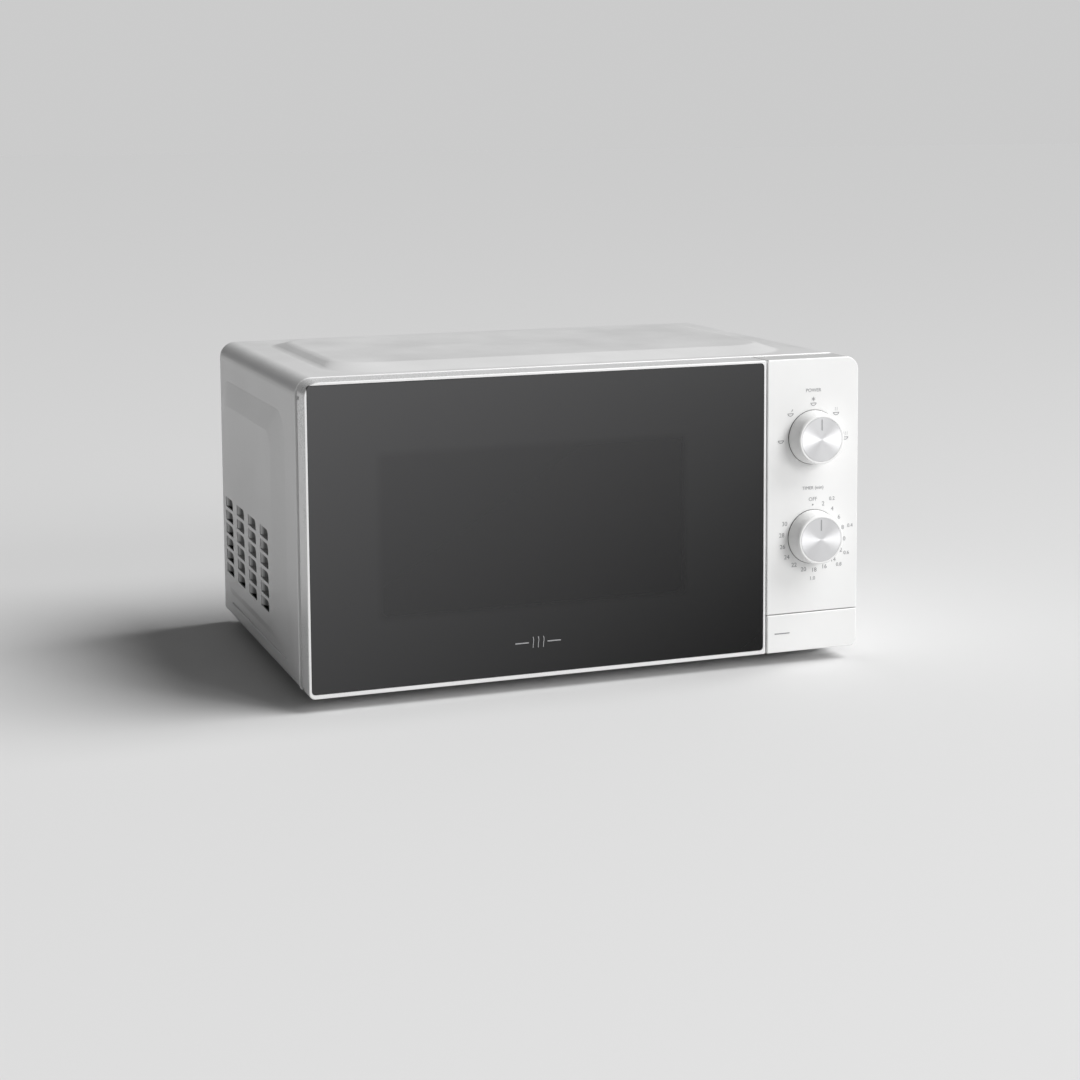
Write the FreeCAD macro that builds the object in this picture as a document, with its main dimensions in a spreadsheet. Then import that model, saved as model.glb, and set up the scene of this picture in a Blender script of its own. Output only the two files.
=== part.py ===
import FreeCAD, Part
import os
import Sketcher

from FreeCAD import Placement, Rotation, Vector

# Countertop microwave oven with two dials, a side-hinged door and a push-button door release.
# Frame: +Z up, -Y towards the user, origin on the table under the middle of the oven.

SIZES = {
    # whole oven: door and casing outline, depth from door face to casing rear
    "body_wide": 452, "body_tall": 235, "body_deep": 308, "foot_tall": 10, "knob_stand": 15,
    # casing sheet, its front lip, its corners and the shared fits
    "cover_wall": 1, "cover_corner": 13, "cover_corner_low": 5, "cover_lip": 2.5, "cover_flange": 14,
    "fit_gap": 0.2, "run_gap": 0.05,
    # raised field on the top of the casing
    "top_rise": 4.5, "top_side_set": 35, "top_side_slope": 10, "top_front_set": 42,
    "top_front_slope": 30, "top_rear_set": 17, "top_rear_slope": 24, "top_round": 42,
    # raised field on each side of the casing
    "side_rise": 2.8, "side_front_set": 66, "side_front_slope": 38, "side_rear_set": 8,
    "side_rear_slope": 14, "side_high_set": 30, "side_high_slope": 20, "side_low_set": 21,
    "side_low_slope": 8, "side_round": 24, "field_soft": 12, "field_shrink": 8,
    "bead_radius": 1.2, "bead_high": 13, "bead_front_set": 72, "bead_rear_set": 34,
    # pressed louvres in both sides
    "vent_front_set": 118, "vent_long": 29, "vent_pitch": 45, "vent_columns": 4, "vent_low_set": 40,
    "vent_tall": 8.5, "vent_step": 11.4, "vent_rows": 6, "vent_round": 5, "vent_angle": 20,
    # front plate, rear panel and base plate
    "plate_gap": 1.2, "plate_thick": 1.2, "plate_tuck": 8, "rear_recess": 4, "sheet_thick": 1,
    "base_rim": 8, "grille_wide": 60, "grille_slot": 4, "grille_pitch": 8, "grille_slots": 6,
    # oven cavity
    "cavity_left": 30, "cavity_right": 31, "cavity_low": 18, "cavity_high": 19, "cavity_rear": 8,
    "cavity_wall": 1, "cavity_round": 14, "drive_hole": 9,
    # door
    "door_thick": 27, "seam_gap": 1.2, "door_corner": 11, "door_corner_low": 5, "rim_side": 2,
    "rim_low": 3.2, "glass_thick": 3.2, "glass_sink": 0.3, "ledge_thick": 2.5, "door_post": 15,
    "door_wall": 3, "window_left": 57, "window_right": 71, "window_low": 57, "window_high": 57,
    "screen_thick": 0.8, "choke_wide": 12, "choke_cover_thick": 3, "film_thick": 0.6,
    # hinge
    "hinge_inset": 6.5, "tab_half": 3.5, "tab_thick": 2, "notch_tall": 2.8, "pin_radius": 2.5,
    "pin_long": 9, "hinge_drop": 14, "notch_half": 4.6,
    # latch and release
    "latch_wide": 7, "latch_set": 14, "latch_bar": 6, "hook_reach": 24, "hook_tall": 8,
    "hook_barb": 4, "latch_low": 33, "latch_high": 45, "latch_travel": 4, "hook_low": 12,
    "button_tall": 31, "button_deep": 20.4, "button_wall": 2.5, "button_travel": 5, "stem_radius": 3,
    "stem_set": 10, "lever_high": 38, "lever_arm": 18, "lever_round": 3, "lever_lift": 14,
    "bracket_deep": 34, "switch_long": 28, "switch_tall": 16, "switch_thick": 8,
    # control panel and dials
    "panel_wide": 81, "panel_wall": 2.5, "seam_round": 1.2, "knob_drop": 63, "knob_pitch": 80,
    "knob_base": 21.6,
    "knob_rim": 19.8, "cap_radius": 17.3, "cap_thick": 1.2, "knob_seam": 0.6, "shaft_radius": 3,
    "selector_wide": 44, "selector_deep": 20, "timer_wide": 50, "timer_deep": 34, "bell_radius": 20,
    # turntable
    "tray_room": 9, "tray_thick": 5, "tray_rise": 9, "tray_lip": 16, "ring_radius": 88,
    "ring_section": 4, "roller_radius": 7, "roller_thick": 6, "axle_radius": 1.6,
    "coupler_radius": 14, "motor_radius": 24.5, "motor_tall": 13, "drive_radius": 3.5,
    # microwave source, power supply and cooling
    "antenna_set": 24, "guide_deep": 22, "guide_long": 86, "guide_tall": 50, "guide_drop": 45,
    "guide_set": 74,
    "source_wide": 70, "source_long": 80, "source_tall": 84, "fan_radius": 42, "fan_thick": 22,
    "duct_margin": 5,
    "fan_hub": 11, "fan_motor_wide": 52, "fan_motor_long": 26, "duct_wall": 1.5, "board_thick": 1.6,
    "board_gap": 9, "board_long": 150, "board_high": 8,
    # cord entry, mounting feet and screws
    "cord_bore": 4, "cord_flange": 11, "cord_body": 7, "cord_high": 34, "cord_set": 40,
    "foot_radius": 11, "foot_set_side": 42, "foot_set_front": 62, "foot_set_rear": 36,
    "screw_radius": 2, "screw_head": 4, "screw_head_tall": 2, "screw_long": 3,
}

doc = FreeCAD.newDocument("microwave_oven")
dims = doc.addObject("Spreadsheet::Sheet", "dims")
for row, (alias, size) in enumerate(SIZES.items(), start=1):
    dims.set(f"A{row}", alias)
    dims.set(f"B{row}", str(size))
    dims.setAlias(f"B{row}", alias)
doc.recompute()

# Reference places, written as expressions on the sheet.
LEFT = "(-dims.body_wide / 2)"
RIGHT = "(dims.body_wide / 2)"
FRONT = "((dims.knob_stand - dims.body_deep) / 2)"
REAR = "((dims.knob_stand + dims.body_deep) / 2)"
BASE = "dims.foot_tall"
TOP = "(dims.foot_tall + dims.body_tall)"
DOOR_REAR = f"({FRONT} + dims.door_thick)"
PLATE = f"({DOOR_REAR} + dims.plate_gap)"
PLATE_REAR = f"({PLATE} + dims.plate_thick)"
SEAM = f"({RIGHT} - dims.panel_wide)"
PANEL_LEFT = f"({SEAM} + dims.seam_gap)"
PANEL_MID = f"(({PANEL_LEFT} + {RIGHT}) / 2)"
FLOOR = f"({BASE} + dims.cover_wall + dims.sheet_thick)"
REAR_FACE = f"({REAR} - dims.rear_recess)"
CAVITY_LEFT = f"({LEFT} + dims.cavity_left)"
CAVITY_RIGHT = f"({SEAM} - dims.cavity_right)"
CAVITY_LOW = f"({BASE} + dims.cavity_low)"
CAVITY_HIGH = f"({TOP} - dims.cavity_high)"
CAVITY_REAR = f"({REAR_FACE} - dims.sheet_thick - dims.cavity_rear)"
OVEN_FLOOR = f"({CAVITY_LOW} + dims.cavity_wall)"
TURN_X = f"(({CAVITY_LEFT} + {CAVITY_RIGHT}) / 2)"
TURN_Y = f"(({PLATE_REAR} + {CAVITY_REAR}) / 2)"
CAVITY_SPAN = f"min({CAVITY_RIGHT} - {CAVITY_LEFT}; {CAVITY_REAR} - {PLATE_REAR})"
TRAY_RADIUS = f"({CAVITY_SPAN} / 2 - dims.cavity_wall - dims.tray_room)"
TRAY_LOW = f"({OVEN_FLOOR} + 2 * dims.roller_radius + dims.fit_gap)"
HINGE_X = f"({LEFT} + dims.hinge_inset)"
HINGE_Y = f"({DOOR_REAR} - dims.hinge_inset)"
KNOB_HIGH = f"({TOP} - dims.knob_drop)"
KNOB_LOW = f"({KNOB_HIGH} - dims.knob_pitch)"
LEDGE_REAR = f"({FRONT} + dims.glass_thick + dims.glass_sink + dims.ledge_thick)"
CHOKE_REAR = f"({DOOR_REAR} - dims.choke_cover_thick)"
LATCH_X = f"({SEAM} - dims.latch_set - dims.latch_wide)"
LATCH_LOW = f"({BASE} + dims.latch_low)"
LATCH_HIGH = f"({TOP} - dims.latch_high)"
BUTTON_TOP = f"({BASE} + dims.button_tall)"
STEM_X = f"({PANEL_LEFT} + dims.stem_set)"
STEM_Z = f"({BASE} + dims.lever_high - dims.lever_arm)"
PIVOT_Y = f"({PLATE} + dims.lever_round + dims.fit_gap + dims.button_travel)"
PIVOT_Z = f"({BASE} + dims.lever_high)"
COVER_INNER_RIGHT = f"({RIGHT} - dims.cover_wall)"
SIDE_MID = f"(({CAVITY_RIGHT} + {COVER_INNER_RIGHT}) / 2)"

AXES = {"x": Vector(1, 0, 0), "y": Vector(0, 1, 0), "z": Vector(0, 0, 1), "-x": Vector(-1, 0, 0)}
INTO_SOLID = {"XY_Plane": False, "XZ_Plane": True, "YZ_Plane": False}
THROUGH = 4  # how far a cutting piece stands past the faces it opens
parts = []


def number(expression):
    """Value of an expression at the present sizes."""
    result = dims.evalExpression(str(expression))
    return float(getattr(result, "Value", result))


def place(item, low, axis="z"):
    """Put a primitive at a place given by three expressions, its own Z along an axis."""
    item.Placement = Placement(Vector(), Rotation(AXES["z"], AXES[axis]))
    for key, expression in zip("xyz", low):
        item.setExpression(f".Placement.Base.{key}", str(expression))


def box(name, low, high):
    """Block between two corners."""
    item = doc.addObject("Part::Box", name)
    place(item, low)
    for prop, start, end in zip(("Length", "Width", "Height"), low, high):
        item.setExpression(prop, f"({end}) - ({start})")
    return item


def rod(name, axis, start, radius, length):
    """Round bar from a start point along an axis."""
    item = doc.addObject("Part::Cylinder", name)
    place(item, start, axis)
    item.setExpression("Radius", str(radius))
    item.setExpression("Height", str(length))
    return item


def fuse(name, pieces):
    """One solid from pieces that touch."""
    item = doc.addObject("Part::MultiFuse", name)
    item.Shapes = list(pieces)
    return item


def group(name, pieces):
    """Separate solids kept together in one node."""
    item = doc.addObject("Part::Compound", name)
    item.Links = list(pieces)
    return item


def cut(name, base, tools):
    """Base with the tools taken away."""
    item = doc.addObject("Part::Cut", name)
    item.Base = base
    item.Tool = tools[0] if len(tools) == 1 else fuse(f"{name}_tools", tools)
    return item


def tube(name, axis, start, outer, inner, length):
    """Round bar with a round bore right through it."""
    bar = rod(f"{name}_bar", axis, start, outer, length)
    bore = rod(f"{name}_bore", axis, start, inner, length)
    return cut(name, bar, [bore])


def soften(name, base, radius, chosen):
    """Round the edges of base that chosen accepts."""
    doc.recompute()
    size = number(radius)
    item = doc.addObject("Part::Fillet", name)
    item.Base = base
    item.Edges = [(i, size, size) for i, edge in enumerate(base.Shape.Edges, start=1) if chosen(edge)]
    return item


def keep(item, label):
    """Make item a finished sub-part under its own label."""
    item.Label = label
    parts.append(item)
    return item


def new_body(name):
    """Empty PartDesign body."""
    return doc.addObject("PartDesign::Body", name)


def new_sketch(body, role, lift, name):
    """Sketch on one of the body's own planes, lifted along that plane's normal."""
    item = body.newObject("Sketcher::SketchObject", name)
    plane = next(f for f in body.Origin.OriginFeatures if f.Role == role)
    item.AttachmentSupport = [(plane, "")]
    item.MapMode = "FlatFace"
    item.setExpression("AttachmentOffset.Base.z", str(lift))
    return item


def fix_point(item, line, end, across, up):
    """Hold one point of a sketch at two expressions."""
    for kind, expression in (("DistanceX", across), ("DistanceY", up)):
        key = item.addConstraint(Sketcher.Constraint(kind, line, end, number(expression)))
        item.setExpression(f"Constraints[{key}]", str(expression))


def fix_radius(item, curve, radius):
    """Hold the radius of a circle or an arc at an expression."""
    key = item.addConstraint(Sketcher.Constraint("Radius", curve, number(radius)))
    item.setExpression(f"Constraints[{key}]", str(radius))


def polygon(item, points):
    """Closed outline of straight lines through points given as pairs of expressions."""
    places = [Vector(number(across), number(up), 0) for across, up in points]
    first = item.GeometryCount
    count = len(points)
    for index, start in enumerate(places):
        item.addGeometry(Part.LineSegment(start, places[(index + 1) % count]))
    for index, (across, up) in enumerate(points):
        following = first + (index + 1) % count
        item.addConstraint(Sketcher.Constraint("Coincident", first + index, 2, following, 1))
        fix_point(item, first + index, 1, across, up)
    return item


def rectangle(item, left, low, right, high):
    """Closed rectangle between two corners."""
    return polygon(item, [(left, low), (right, low), (right, high), (left, high)])


def circle(item, across, up, radius):
    """Circle at a centre given by two expressions."""
    centre = Vector(number(across), number(up), 0)
    curve = item.addGeometry(Part.Circle(centre, AXES["z"], number(radius)))
    fix_point(item, curve, 3, across, up)
    fix_radius(item, curve, radius)
    return item


def rounded(item, left, low, right, high, radius):
    """Rectangle between two corners, with all four corners rounded alike."""
    centres = [(f"{right} - {radius}", f"{low} + {radius}"), (f"{right} - {radius}", f"{high} - {radius}"),
               (f"{left} + {radius}", f"{high} - {radius}"), (f"{left} + {radius}", f"{low} + {radius}")]
    size = number(radius)
    turn = 1.5707963267948966
    arcs = []
    ends = []
    for index, (across, up) in enumerate(centres):
        middle = Part.Circle(Vector(number(across), number(up), 0), AXES["z"], size)
        arc = Part.ArcOfCircle(middle, (index - 1) * turn, index * turn)
        arcs.append(item.addGeometry(arc))
        ends.append((arc.StartPoint, arc.EndPoint))
    for index, arc in enumerate(arcs):
        following = (index + 1) % 4
        line = item.addGeometry(Part.LineSegment(ends[index][1], ends[following][0]))
        item.addConstraint(Sketcher.Constraint("Tangent", arc, 2, line, 1))
        item.addConstraint(Sketcher.Constraint("Tangent", line, 2, arcs[following], 1))
    for arc, (across, up) in zip(arcs, centres):
        fix_point(item, arc, 3, across, up)
        fix_radius(item, arc, radius)
    return item


def role_of(profile):
    """Name of the origin plane that a sketch lies on."""
    return profile.AttachmentSupport[0][0].Role


def pad(body, profile, length, name):
    """Add material behind a sketch: towards +X, +Y or +Z."""
    item = body.newObject("PartDesign::Pad", name)
    item.Profile = profile
    item.Reversed = INTO_SOLID[role_of(profile)]
    item.setExpression("Length", str(length))
    return item


def pocket(body, profile, length, name):
    """Take material away behind a sketch: towards +X, +Y or +Z."""
    item = body.newObject("PartDesign::Pocket", name)
    item.Profile = profile
    item.Reversed = not INTO_SOLID[role_of(profile)]
    item.setExpression("Length", str(length))
    return item


def revolve(body, profile, name):
    """Turn a sketch right round its own upright axis."""
    item = body.newObject("PartDesign::Revolution", name)
    item.Profile = profile
    item.ReferenceAxis = (profile, ["V_Axis"])
    item.Angle = 360
    return item


def loft(body, first, second, name):
    """Straight-sided solid between two sketches."""
    item = body.newObject("PartDesign::AdditiveLoft", name)
    item.Profile = first
    item.Sections = [second]
    item.Ruled = True
    return item


def repeat_round(body, feature, axis_role, count, name):
    """Repeat a feature evenly round one of the body's own axes."""
    axis = next(f for f in body.Origin.OriginFeatures if f.Role == axis_role)
    item = body.newObject("PartDesign::PolarPattern", name)
    item.Originals = [feature]
    item.Axis = (axis, [""])
    item.Angle = 360
    item.Occurrences = count
    body.Tip = item
    return item


def body_fillet(body, base, radius, chosen, name):
    """Round the edges of a body's last feature that chosen accepts."""
    doc.recompute()
    edges = [f"Edge{i}" for i, edge in enumerate(base.Shape.Edges, start=1) if chosen(edge)]
    item = body.newObject("PartDesign::Fillet", name)
    item.Base = (base, edges)
    item.setExpression("Radius", str(radius))
    return item


def along(edge, axis, near=None):
    """True for a straight edge along an axis, and near given coordinates if any are asked."""
    box_of = edge.BoundBox
    spans = {"x": box_of.XLength, "y": box_of.YLength, "z": box_of.ZLength}
    if any(span > 1e-4 for key, span in spans.items() if key != axis):
        return False
    middle = {"x": box_of.Center.x, "y": box_of.Center.y, "z": box_of.Center.z}
    return all(abs(middle[key] - number(at)) < 0.01 for key, at in (near or {}).items())


def flat_at(edge, axis, at):
    """True for an edge that lies wholly in a plane across an axis."""
    box_of = edge.BoundBox
    low = {"x": box_of.XMin, "y": box_of.YMin, "z": box_of.ZMin}[axis]
    high = {"x": box_of.XMax, "y": box_of.YMax, "z": box_of.ZMax}[axis]
    return abs(low - number(at)) < 0.01 and abs(high - number(at)) < 0.01


# ---- casing ----------------------------------------------------------------------------------

def cover_form(name, inset, front, rear):
    """Solid with the outline of the casing, drawn in by inset."""
    body = new_body(name)
    left = f"({LEFT} + {inset})"
    right = f"({RIGHT} - {inset})"
    low = f"({BASE} + {inset})"
    high = f"({TOP} - {inset})"
    outline = new_sketch(body, "XZ_Plane", f"-({front})", f"{name}_outline")
    rectangle(outline, left, low, right, high)
    shape = pad(body, outline, f"{rear} - ({front})", f"{name}_block")
    corners = (("high", high, f"dims.cover_corner - {inset}"),
               ("low", low, f"dims.cover_corner_low - {inset}"))
    for key, level, radius in corners:
        shape = body_fillet(body, shape, radius, lambda e: along(e, "y", {"z": level}), f"{name}_{key}")
    field_front = f"({FRONT} + dims.top_front_set)"
    field_rear = f"({REAR} - dims.top_rear_set)"
    foot = new_sketch(body, "XY_Plane", high, f"{name}_top_foot")
    rounded(foot, f"({left} + dims.top_side_set)", field_front, f"({right} - dims.top_side_set)",
            field_rear, "dims.top_round")
    head = new_sketch(body, "XY_Plane", f"{high} + dims.top_rise", f"{name}_top_head")
    side = "(dims.top_side_set + dims.top_side_slope)"
    rounded(head, f"({left} + {side})", f"({field_front} + dims.top_front_slope)", f"({right} - {side})",
            f"({field_rear} - dims.top_rear_slope)", "(dims.top_round - dims.field_shrink)")
    shape = loft(body, foot, head, f"{name}_top_field")
    for key, level in (("foot", high), ("head", f"{high} + dims.top_rise")):
        shape = body_fillet(body, shape, "dims.field_soft",
                            lambda e: flat_at(e, "z", level) and abs(e.BoundBox.Center.x) < number(right) - 20
                            and number(FRONT) + 41 < e.BoundBox.YMin and e.BoundBox.YMax < number(REAR) - 16,
                            f"{name}_top_{key}_round")
    for key, face, step in (("left", left, "-dims.side_rise"), ("right", right, "dims.side_rise")):
        side_front = f"({FRONT} + dims.side_front_set)"
        side_rear = f"({REAR} - dims.side_rear_set)"
        side_low = f"({BASE} + dims.side_low_set)"
        side_high = f"({TOP} - dims.side_high_set)"
        foot = new_sketch(body, "YZ_Plane", face, f"{name}_{key}_foot")
        rounded(foot, side_front, side_low, side_rear, side_high, "dims.side_round")
        head = new_sketch(body, "YZ_Plane", f"{face} + ({step})", f"{name}_{key}_head")
        rounded(head, f"({side_front} + dims.side_front_slope)", f"({side_low} + dims.side_low_slope)",
                f"({side_rear} - dims.side_rear_slope)", f"({side_high} - dims.side_high_slope)",
                "(dims.side_round - dims.field_shrink)")
        shape = loft(body, foot, head, f"{name}_{key}_field")
    return body


def louvres():
    """Slots and bent-in tongues of the pressed louvres in both sides."""
    slots = []
    tongues = []
    for side in (-1, 1):
        face = f"({LEFT} - dims.side_rise)" if side < 0 else f"({RIGHT} + dims.side_rise)"
        for column in range(SIZES["vent_columns"]):
            start = f"({FRONT} + dims.vent_front_set + {column} * dims.vent_pitch)"
            for line in range(SIZES["vent_rows"]):
                low = f"({BASE} + dims.vent_low_set + {line} * dims.vent_step)"
                tag = f"{'left' if side < 0 else 'right'}_{column}_{line}"
                outer = f"({face} - {THROUGH})"
                inner = f"({face} + {THROUGH})"
                high = f"{low} + dims.vent_tall"
                slot = box(f"slot_{tag}", (outer, start, low), (inner, f"{start} + dims.vent_long", high))
                slots.append(soften(f"slot_round_{tag}", slot, "dims.vent_round",
                                    lambda e: along(e, "x", {"y": start, "z": high})))
                tongue = box(f"tongue_{tag}", ("0", f"{start} + 2", f"{low} + dims.fit_gap"),
                             ("dims.cover_wall", f"{start} + 2 + dims.vent_long / cos(dims.vent_angle)",
                              f"{high} - dims.fit_gap"))
                turn = Rotation(AXES["z"], -side * number("dims.vent_angle"))
                tongue.Placement = Placement(tongue.Placement.Base, turn)
                drop = "dims.vent_long * tan(dims.vent_angle)"
                shift = drop if side < 0 else f"-({drop}) - dims.cover_wall"
                tongue.setExpression(".Placement.Base.x", f"{face} + ({shift})")
                tongues.append(tongue)
    return slots, tongues


def make_cover():
    """Wrap-round sheet casing with raised fields, louvres, a front lip and a lower flange."""
    outer = cover_form("cover_outer", "0", PLATE, REAR)
    inner = cover_form("cover_inner", "dims.cover_wall", f"({PLATE} + dims.cover_wall)",
                       f"({REAR} + {THROUGH})")
    mouth = box("cover_mouth",
                (f"{LEFT} + dims.cover_lip", f"{PLATE} - {THROUGH}", f"{BASE} + dims.cover_lip"),
                (f"{RIGHT} - dims.cover_lip", f"{PLATE} + {THROUGH}", f"{TOP} - dims.cover_lip"))
    mouth = soften("cover_mouth_round", mouth, "dims.cover_corner - dims.cover_lip",
                   lambda e: along(e, "y", {"z": f"{TOP} - dims.cover_lip"}))
    under = box("cover_under", (f"{LEFT} + dims.cover_flange", f"{PLATE} - {THROUGH}", f"{BASE} - {THROUGH}"),
                (f"{RIGHT} - dims.cover_flange", f"{REAR} + {THROUGH}", f"{BASE} + 2 * dims.cover_wall"))
    beads = [rod(f"bead_{key}", "y", (x, f"{FRONT} + dims.bead_front_set", f"{BASE} + dims.bead_high"),
                 "dims.bead_radius", f"{REAR} - dims.bead_rear_set - ({FRONT} + dims.bead_front_set)")
             for key, x in (("left", LEFT), ("right", RIGHT))]
    slots, tongues = louvres()
    shell = cut("cover_shell", fuse("cover_beaded", [outer] + beads), [inner, mouth, under] + slots)
    keep(fuse("outer_cover", [shell] + tongues), "outer_cover")


def make_base_plate():
    """Floor sheet with an upturned rim and air slots under the power supply."""
    gap = "(dims.cover_wall + dims.fit_gap)"
    low = (f"{LEFT} + {gap} + dims.cover_corner_low", f"{PLATE_REAR} + dims.sheet_thick + dims.fit_gap",
           f"{BASE} + dims.cover_wall")
    high = (f"{RIGHT} - {gap} - dims.cover_corner_low", f"{REAR_FACE} - dims.sheet_thick",
            f"{FLOOR} + dims.base_rim")
    hollow = [f"{low[0]} + dims.sheet_thick", f"{low[1]} + dims.sheet_thick", FLOOR]
    hollow_high = [f"{high[0]} - dims.sheet_thick", f"{high[1]} - dims.sheet_thick", f"{high[2]} + {THROUGH}"]
    slots = [box(f"floor_slot_{i}", (f"{CAVITY_RIGHT} + 20", f"{PLATE_REAR} + 90 + {i} * dims.grille_pitch",
                                     f"{BASE} - {THROUGH}"),
                 (f"{CAVITY_RIGHT} + 20 + dims.grille_wide",
                  f"{PLATE_REAR} + 90 + {i} * dims.grille_pitch + dims.grille_slot", f"{FLOOR} + {THROUGH}"))
             for i in range(SIZES["grille_slots"])]
    keep(cut("base_plate", box("base_block", low, high), [box("base_hollow", hollow, hollow_high)] + slots),
         "base_plate")


def make_rear_panel():
    """Rear sheet with two slotted grilles and the hole for the cord bushing."""
    gap = "(dims.cover_wall + dims.fit_gap)"
    outline = box("rear_block", (f"{LEFT} + {gap}", f"{REAR_FACE} - dims.sheet_thick", f"{BASE} + {gap}"),
                  (f"{RIGHT} - {gap}", REAR_FACE, f"{TOP} - {gap}"))
    outline = soften("rear_high", outline, "dims.cover_corner - dims.cover_wall",
                     lambda e: along(e, "y", {"z": f"{TOP} - {gap}"}))
    outline = soften("rear_low", outline, "dims.cover_corner_low - dims.cover_wall",
                     lambda e: along(e, "y", {"z": f"{BASE} + {gap}"}))
    slots = []
    for key, left in (("fan", f"{SIDE_MID} - dims.grille_wide / 2"), ("air", f"{LEFT} + 40")):
        for i in range(SIZES["grille_slots"] + 3):
            low = f"{TOP} - 120 + {i} * dims.grille_pitch"
            slots.append(box(f"rear_{key}_{i}", (left, f"{REAR_FACE} - {THROUGH}", low),
                             (f"{left} + dims.grille_wide", f"{REAR_FACE} + {THROUGH}",
                              f"{low} + dims.grille_slot")))
    slots.append(rod("rear_cord_hole", "y", (f"{RIGHT} - dims.cord_set", f"{REAR_FACE} - {THROUGH}",
                                             f"{BASE} + dims.cord_high"),
                     "dims.cord_body + dims.run_gap", f"{2 * THROUGH}"))
    for x, z in screw_places():
        slots.append(rod("rear_screw_hole", "y", (x, f"{REAR_FACE} - {THROUGH}", z),
                         "dims.screw_radius + dims.run_gap", f"{2 * THROUGH}"))
    keep(cut("rear_panel", outline, slots), "rear_panel")


def screw_places():
    """X and Z of the screws that hold the rear of the casing."""
    return [(f"{LEFT} + 24", f"{TOP} - 24"), (f"{RIGHT} - 24", f"{TOP} - 24"),
            (f"{LEFT} + 24", f"{BASE} + 24"), (f"{RIGHT} - 16", f"{BASE} + 16")]


def make_cover_screws():
    """Screws at the rear, with low round heads inside the recess."""
    screws = []
    for index, (x, z) in enumerate(screw_places()):
        head = rod(f"screw_head_{index}", "y", (x, REAR_FACE, z), "dims.screw_head", "dims.screw_head_tall")
        shank = rod(f"screw_shank_{index}", "y", (x, f"{REAR_FACE} - dims.screw_long", z),
                    "dims.screw_radius", "dims.screw_long")
        slot = box(f"screw_slot_{index}", (f"{x} - 3", f"{REAR_FACE} + 1.2", f"{z} - 0.5"),
                   (f"{x} + 3", f"{REAR_FACE} + 3", f"{z} + 0.5"))
        screws.append(cut(f"screw_{index}", fuse(f"screw_blank_{index}", [head, shank]), [slot]))
    keep(group("cover_screws", screws), "cover_screws")


def make_cord_bushing():
    """Plastic bushing that lines the cord hole in the rear sheet."""
    x = f"{RIGHT} - dims.cord_set"
    z = f"{BASE} + dims.cord_high"
    flange = rod("bushing_flange", "y", (x, REAR_FACE, z), "dims.cord_flange", "dims.rear_recess - 1")
    neck = rod("bushing_neck", "y", (x, f"{REAR_FACE} - 6", z), "dims.cord_body", "6")
    bore = rod("bushing_bore", "y", (x, f"{REAR_FACE} - 8", z), "dims.cord_bore", "dims.rear_recess + 10")
    keep(cut("cord_bushing", fuse("bushing_blank", [flange, neck]), [bore]), "cord_bushing")


def make_front_plate():
    """Sheet behind the door, with the oven mouth, the hook slots and the hinge slots."""
    edge = "(dims.cover_lip + dims.fit_gap)"
    right = f"{SEAM} + dims.plate_tuck"
    plate = box("plate_block", (f"{LEFT} + {edge}", PLATE, f"{BASE} + {edge}"),
                (right, PLATE_REAR, f"{TOP} - {edge}"))
    plate = soften("plate_high", plate, "dims.cover_corner - dims.cover_lip",
                   lambda e: along(e, "y", {"z": f"{TOP} - {edge}", "x": f"{LEFT} + {edge}"}))
    mouth = box("plate_mouth", (f"{CAVITY_LEFT} + dims.cavity_wall", f"{PLATE} - {THROUGH}", OVEN_FLOOR),
                (f"{CAVITY_RIGHT} - dims.cavity_wall", f"{PLATE_REAR} + {THROUGH}",
                 f"{CAVITY_HIGH} - dims.cavity_wall"))
    mouth = soften("plate_mouth_round", mouth, "dims.cavity_round - dims.cavity_wall",
                   lambda e: along(e, "y"))
    slots = []
    for low in hook_lows():
        slots.append(box("hook_slot",
                         (f"{LATCH_X} - 2", f"{PLATE} - {THROUGH}", f"{low} - dims.hook_barb - 3"),
                         (f"{LATCH_X} + dims.latch_wide + 2", f"{PLATE_REAR} + {THROUGH}",
                          f"{low} + dims.hook_tall + dims.latch_travel + 2")))
    for low in tab_lows():
        slots.append(box("hinge_slot", (f"{LEFT} + 1", f"{PLATE} - {THROUGH}", f"{low} - dims.fit_gap"),
                         (f"{HINGE_X} + dims.tab_half + dims.fit_gap", f"{PLATE_REAR} + {THROUGH}",
                          f"{low} + dims.tab_thick + dims.fit_gap")))
    keep(cut("front_plate", plate, [mouth] + slots), "front_plate")


def make_feet():
    """Four round rubber feet under the casing."""
    for side, x in (("left", f"{LEFT} + dims.foot_set_side"), ("right", f"{RIGHT} - dims.foot_set_side")):
        for end, y in (("front", f"{FRONT} + dims.foot_set_front"), ("rear", f"{REAR} - dims.foot_set_rear")):
            label = f"foot_{end}_{side}"
            body = new_body(label)
            profile = new_sketch(body, "XZ_Plane", "0", f"{label}_profile")
            high = f"{BASE} + dims.cover_wall"
            polygon(profile, [("0", "0"), ("dims.foot_radius - 2", "0"), ("dims.foot_radius", high),
                              ("0", high)])
            revolve(body, profile, f"{label}_turned")
            place(body, (x, y, "0"))
            keep(body, label)


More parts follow.
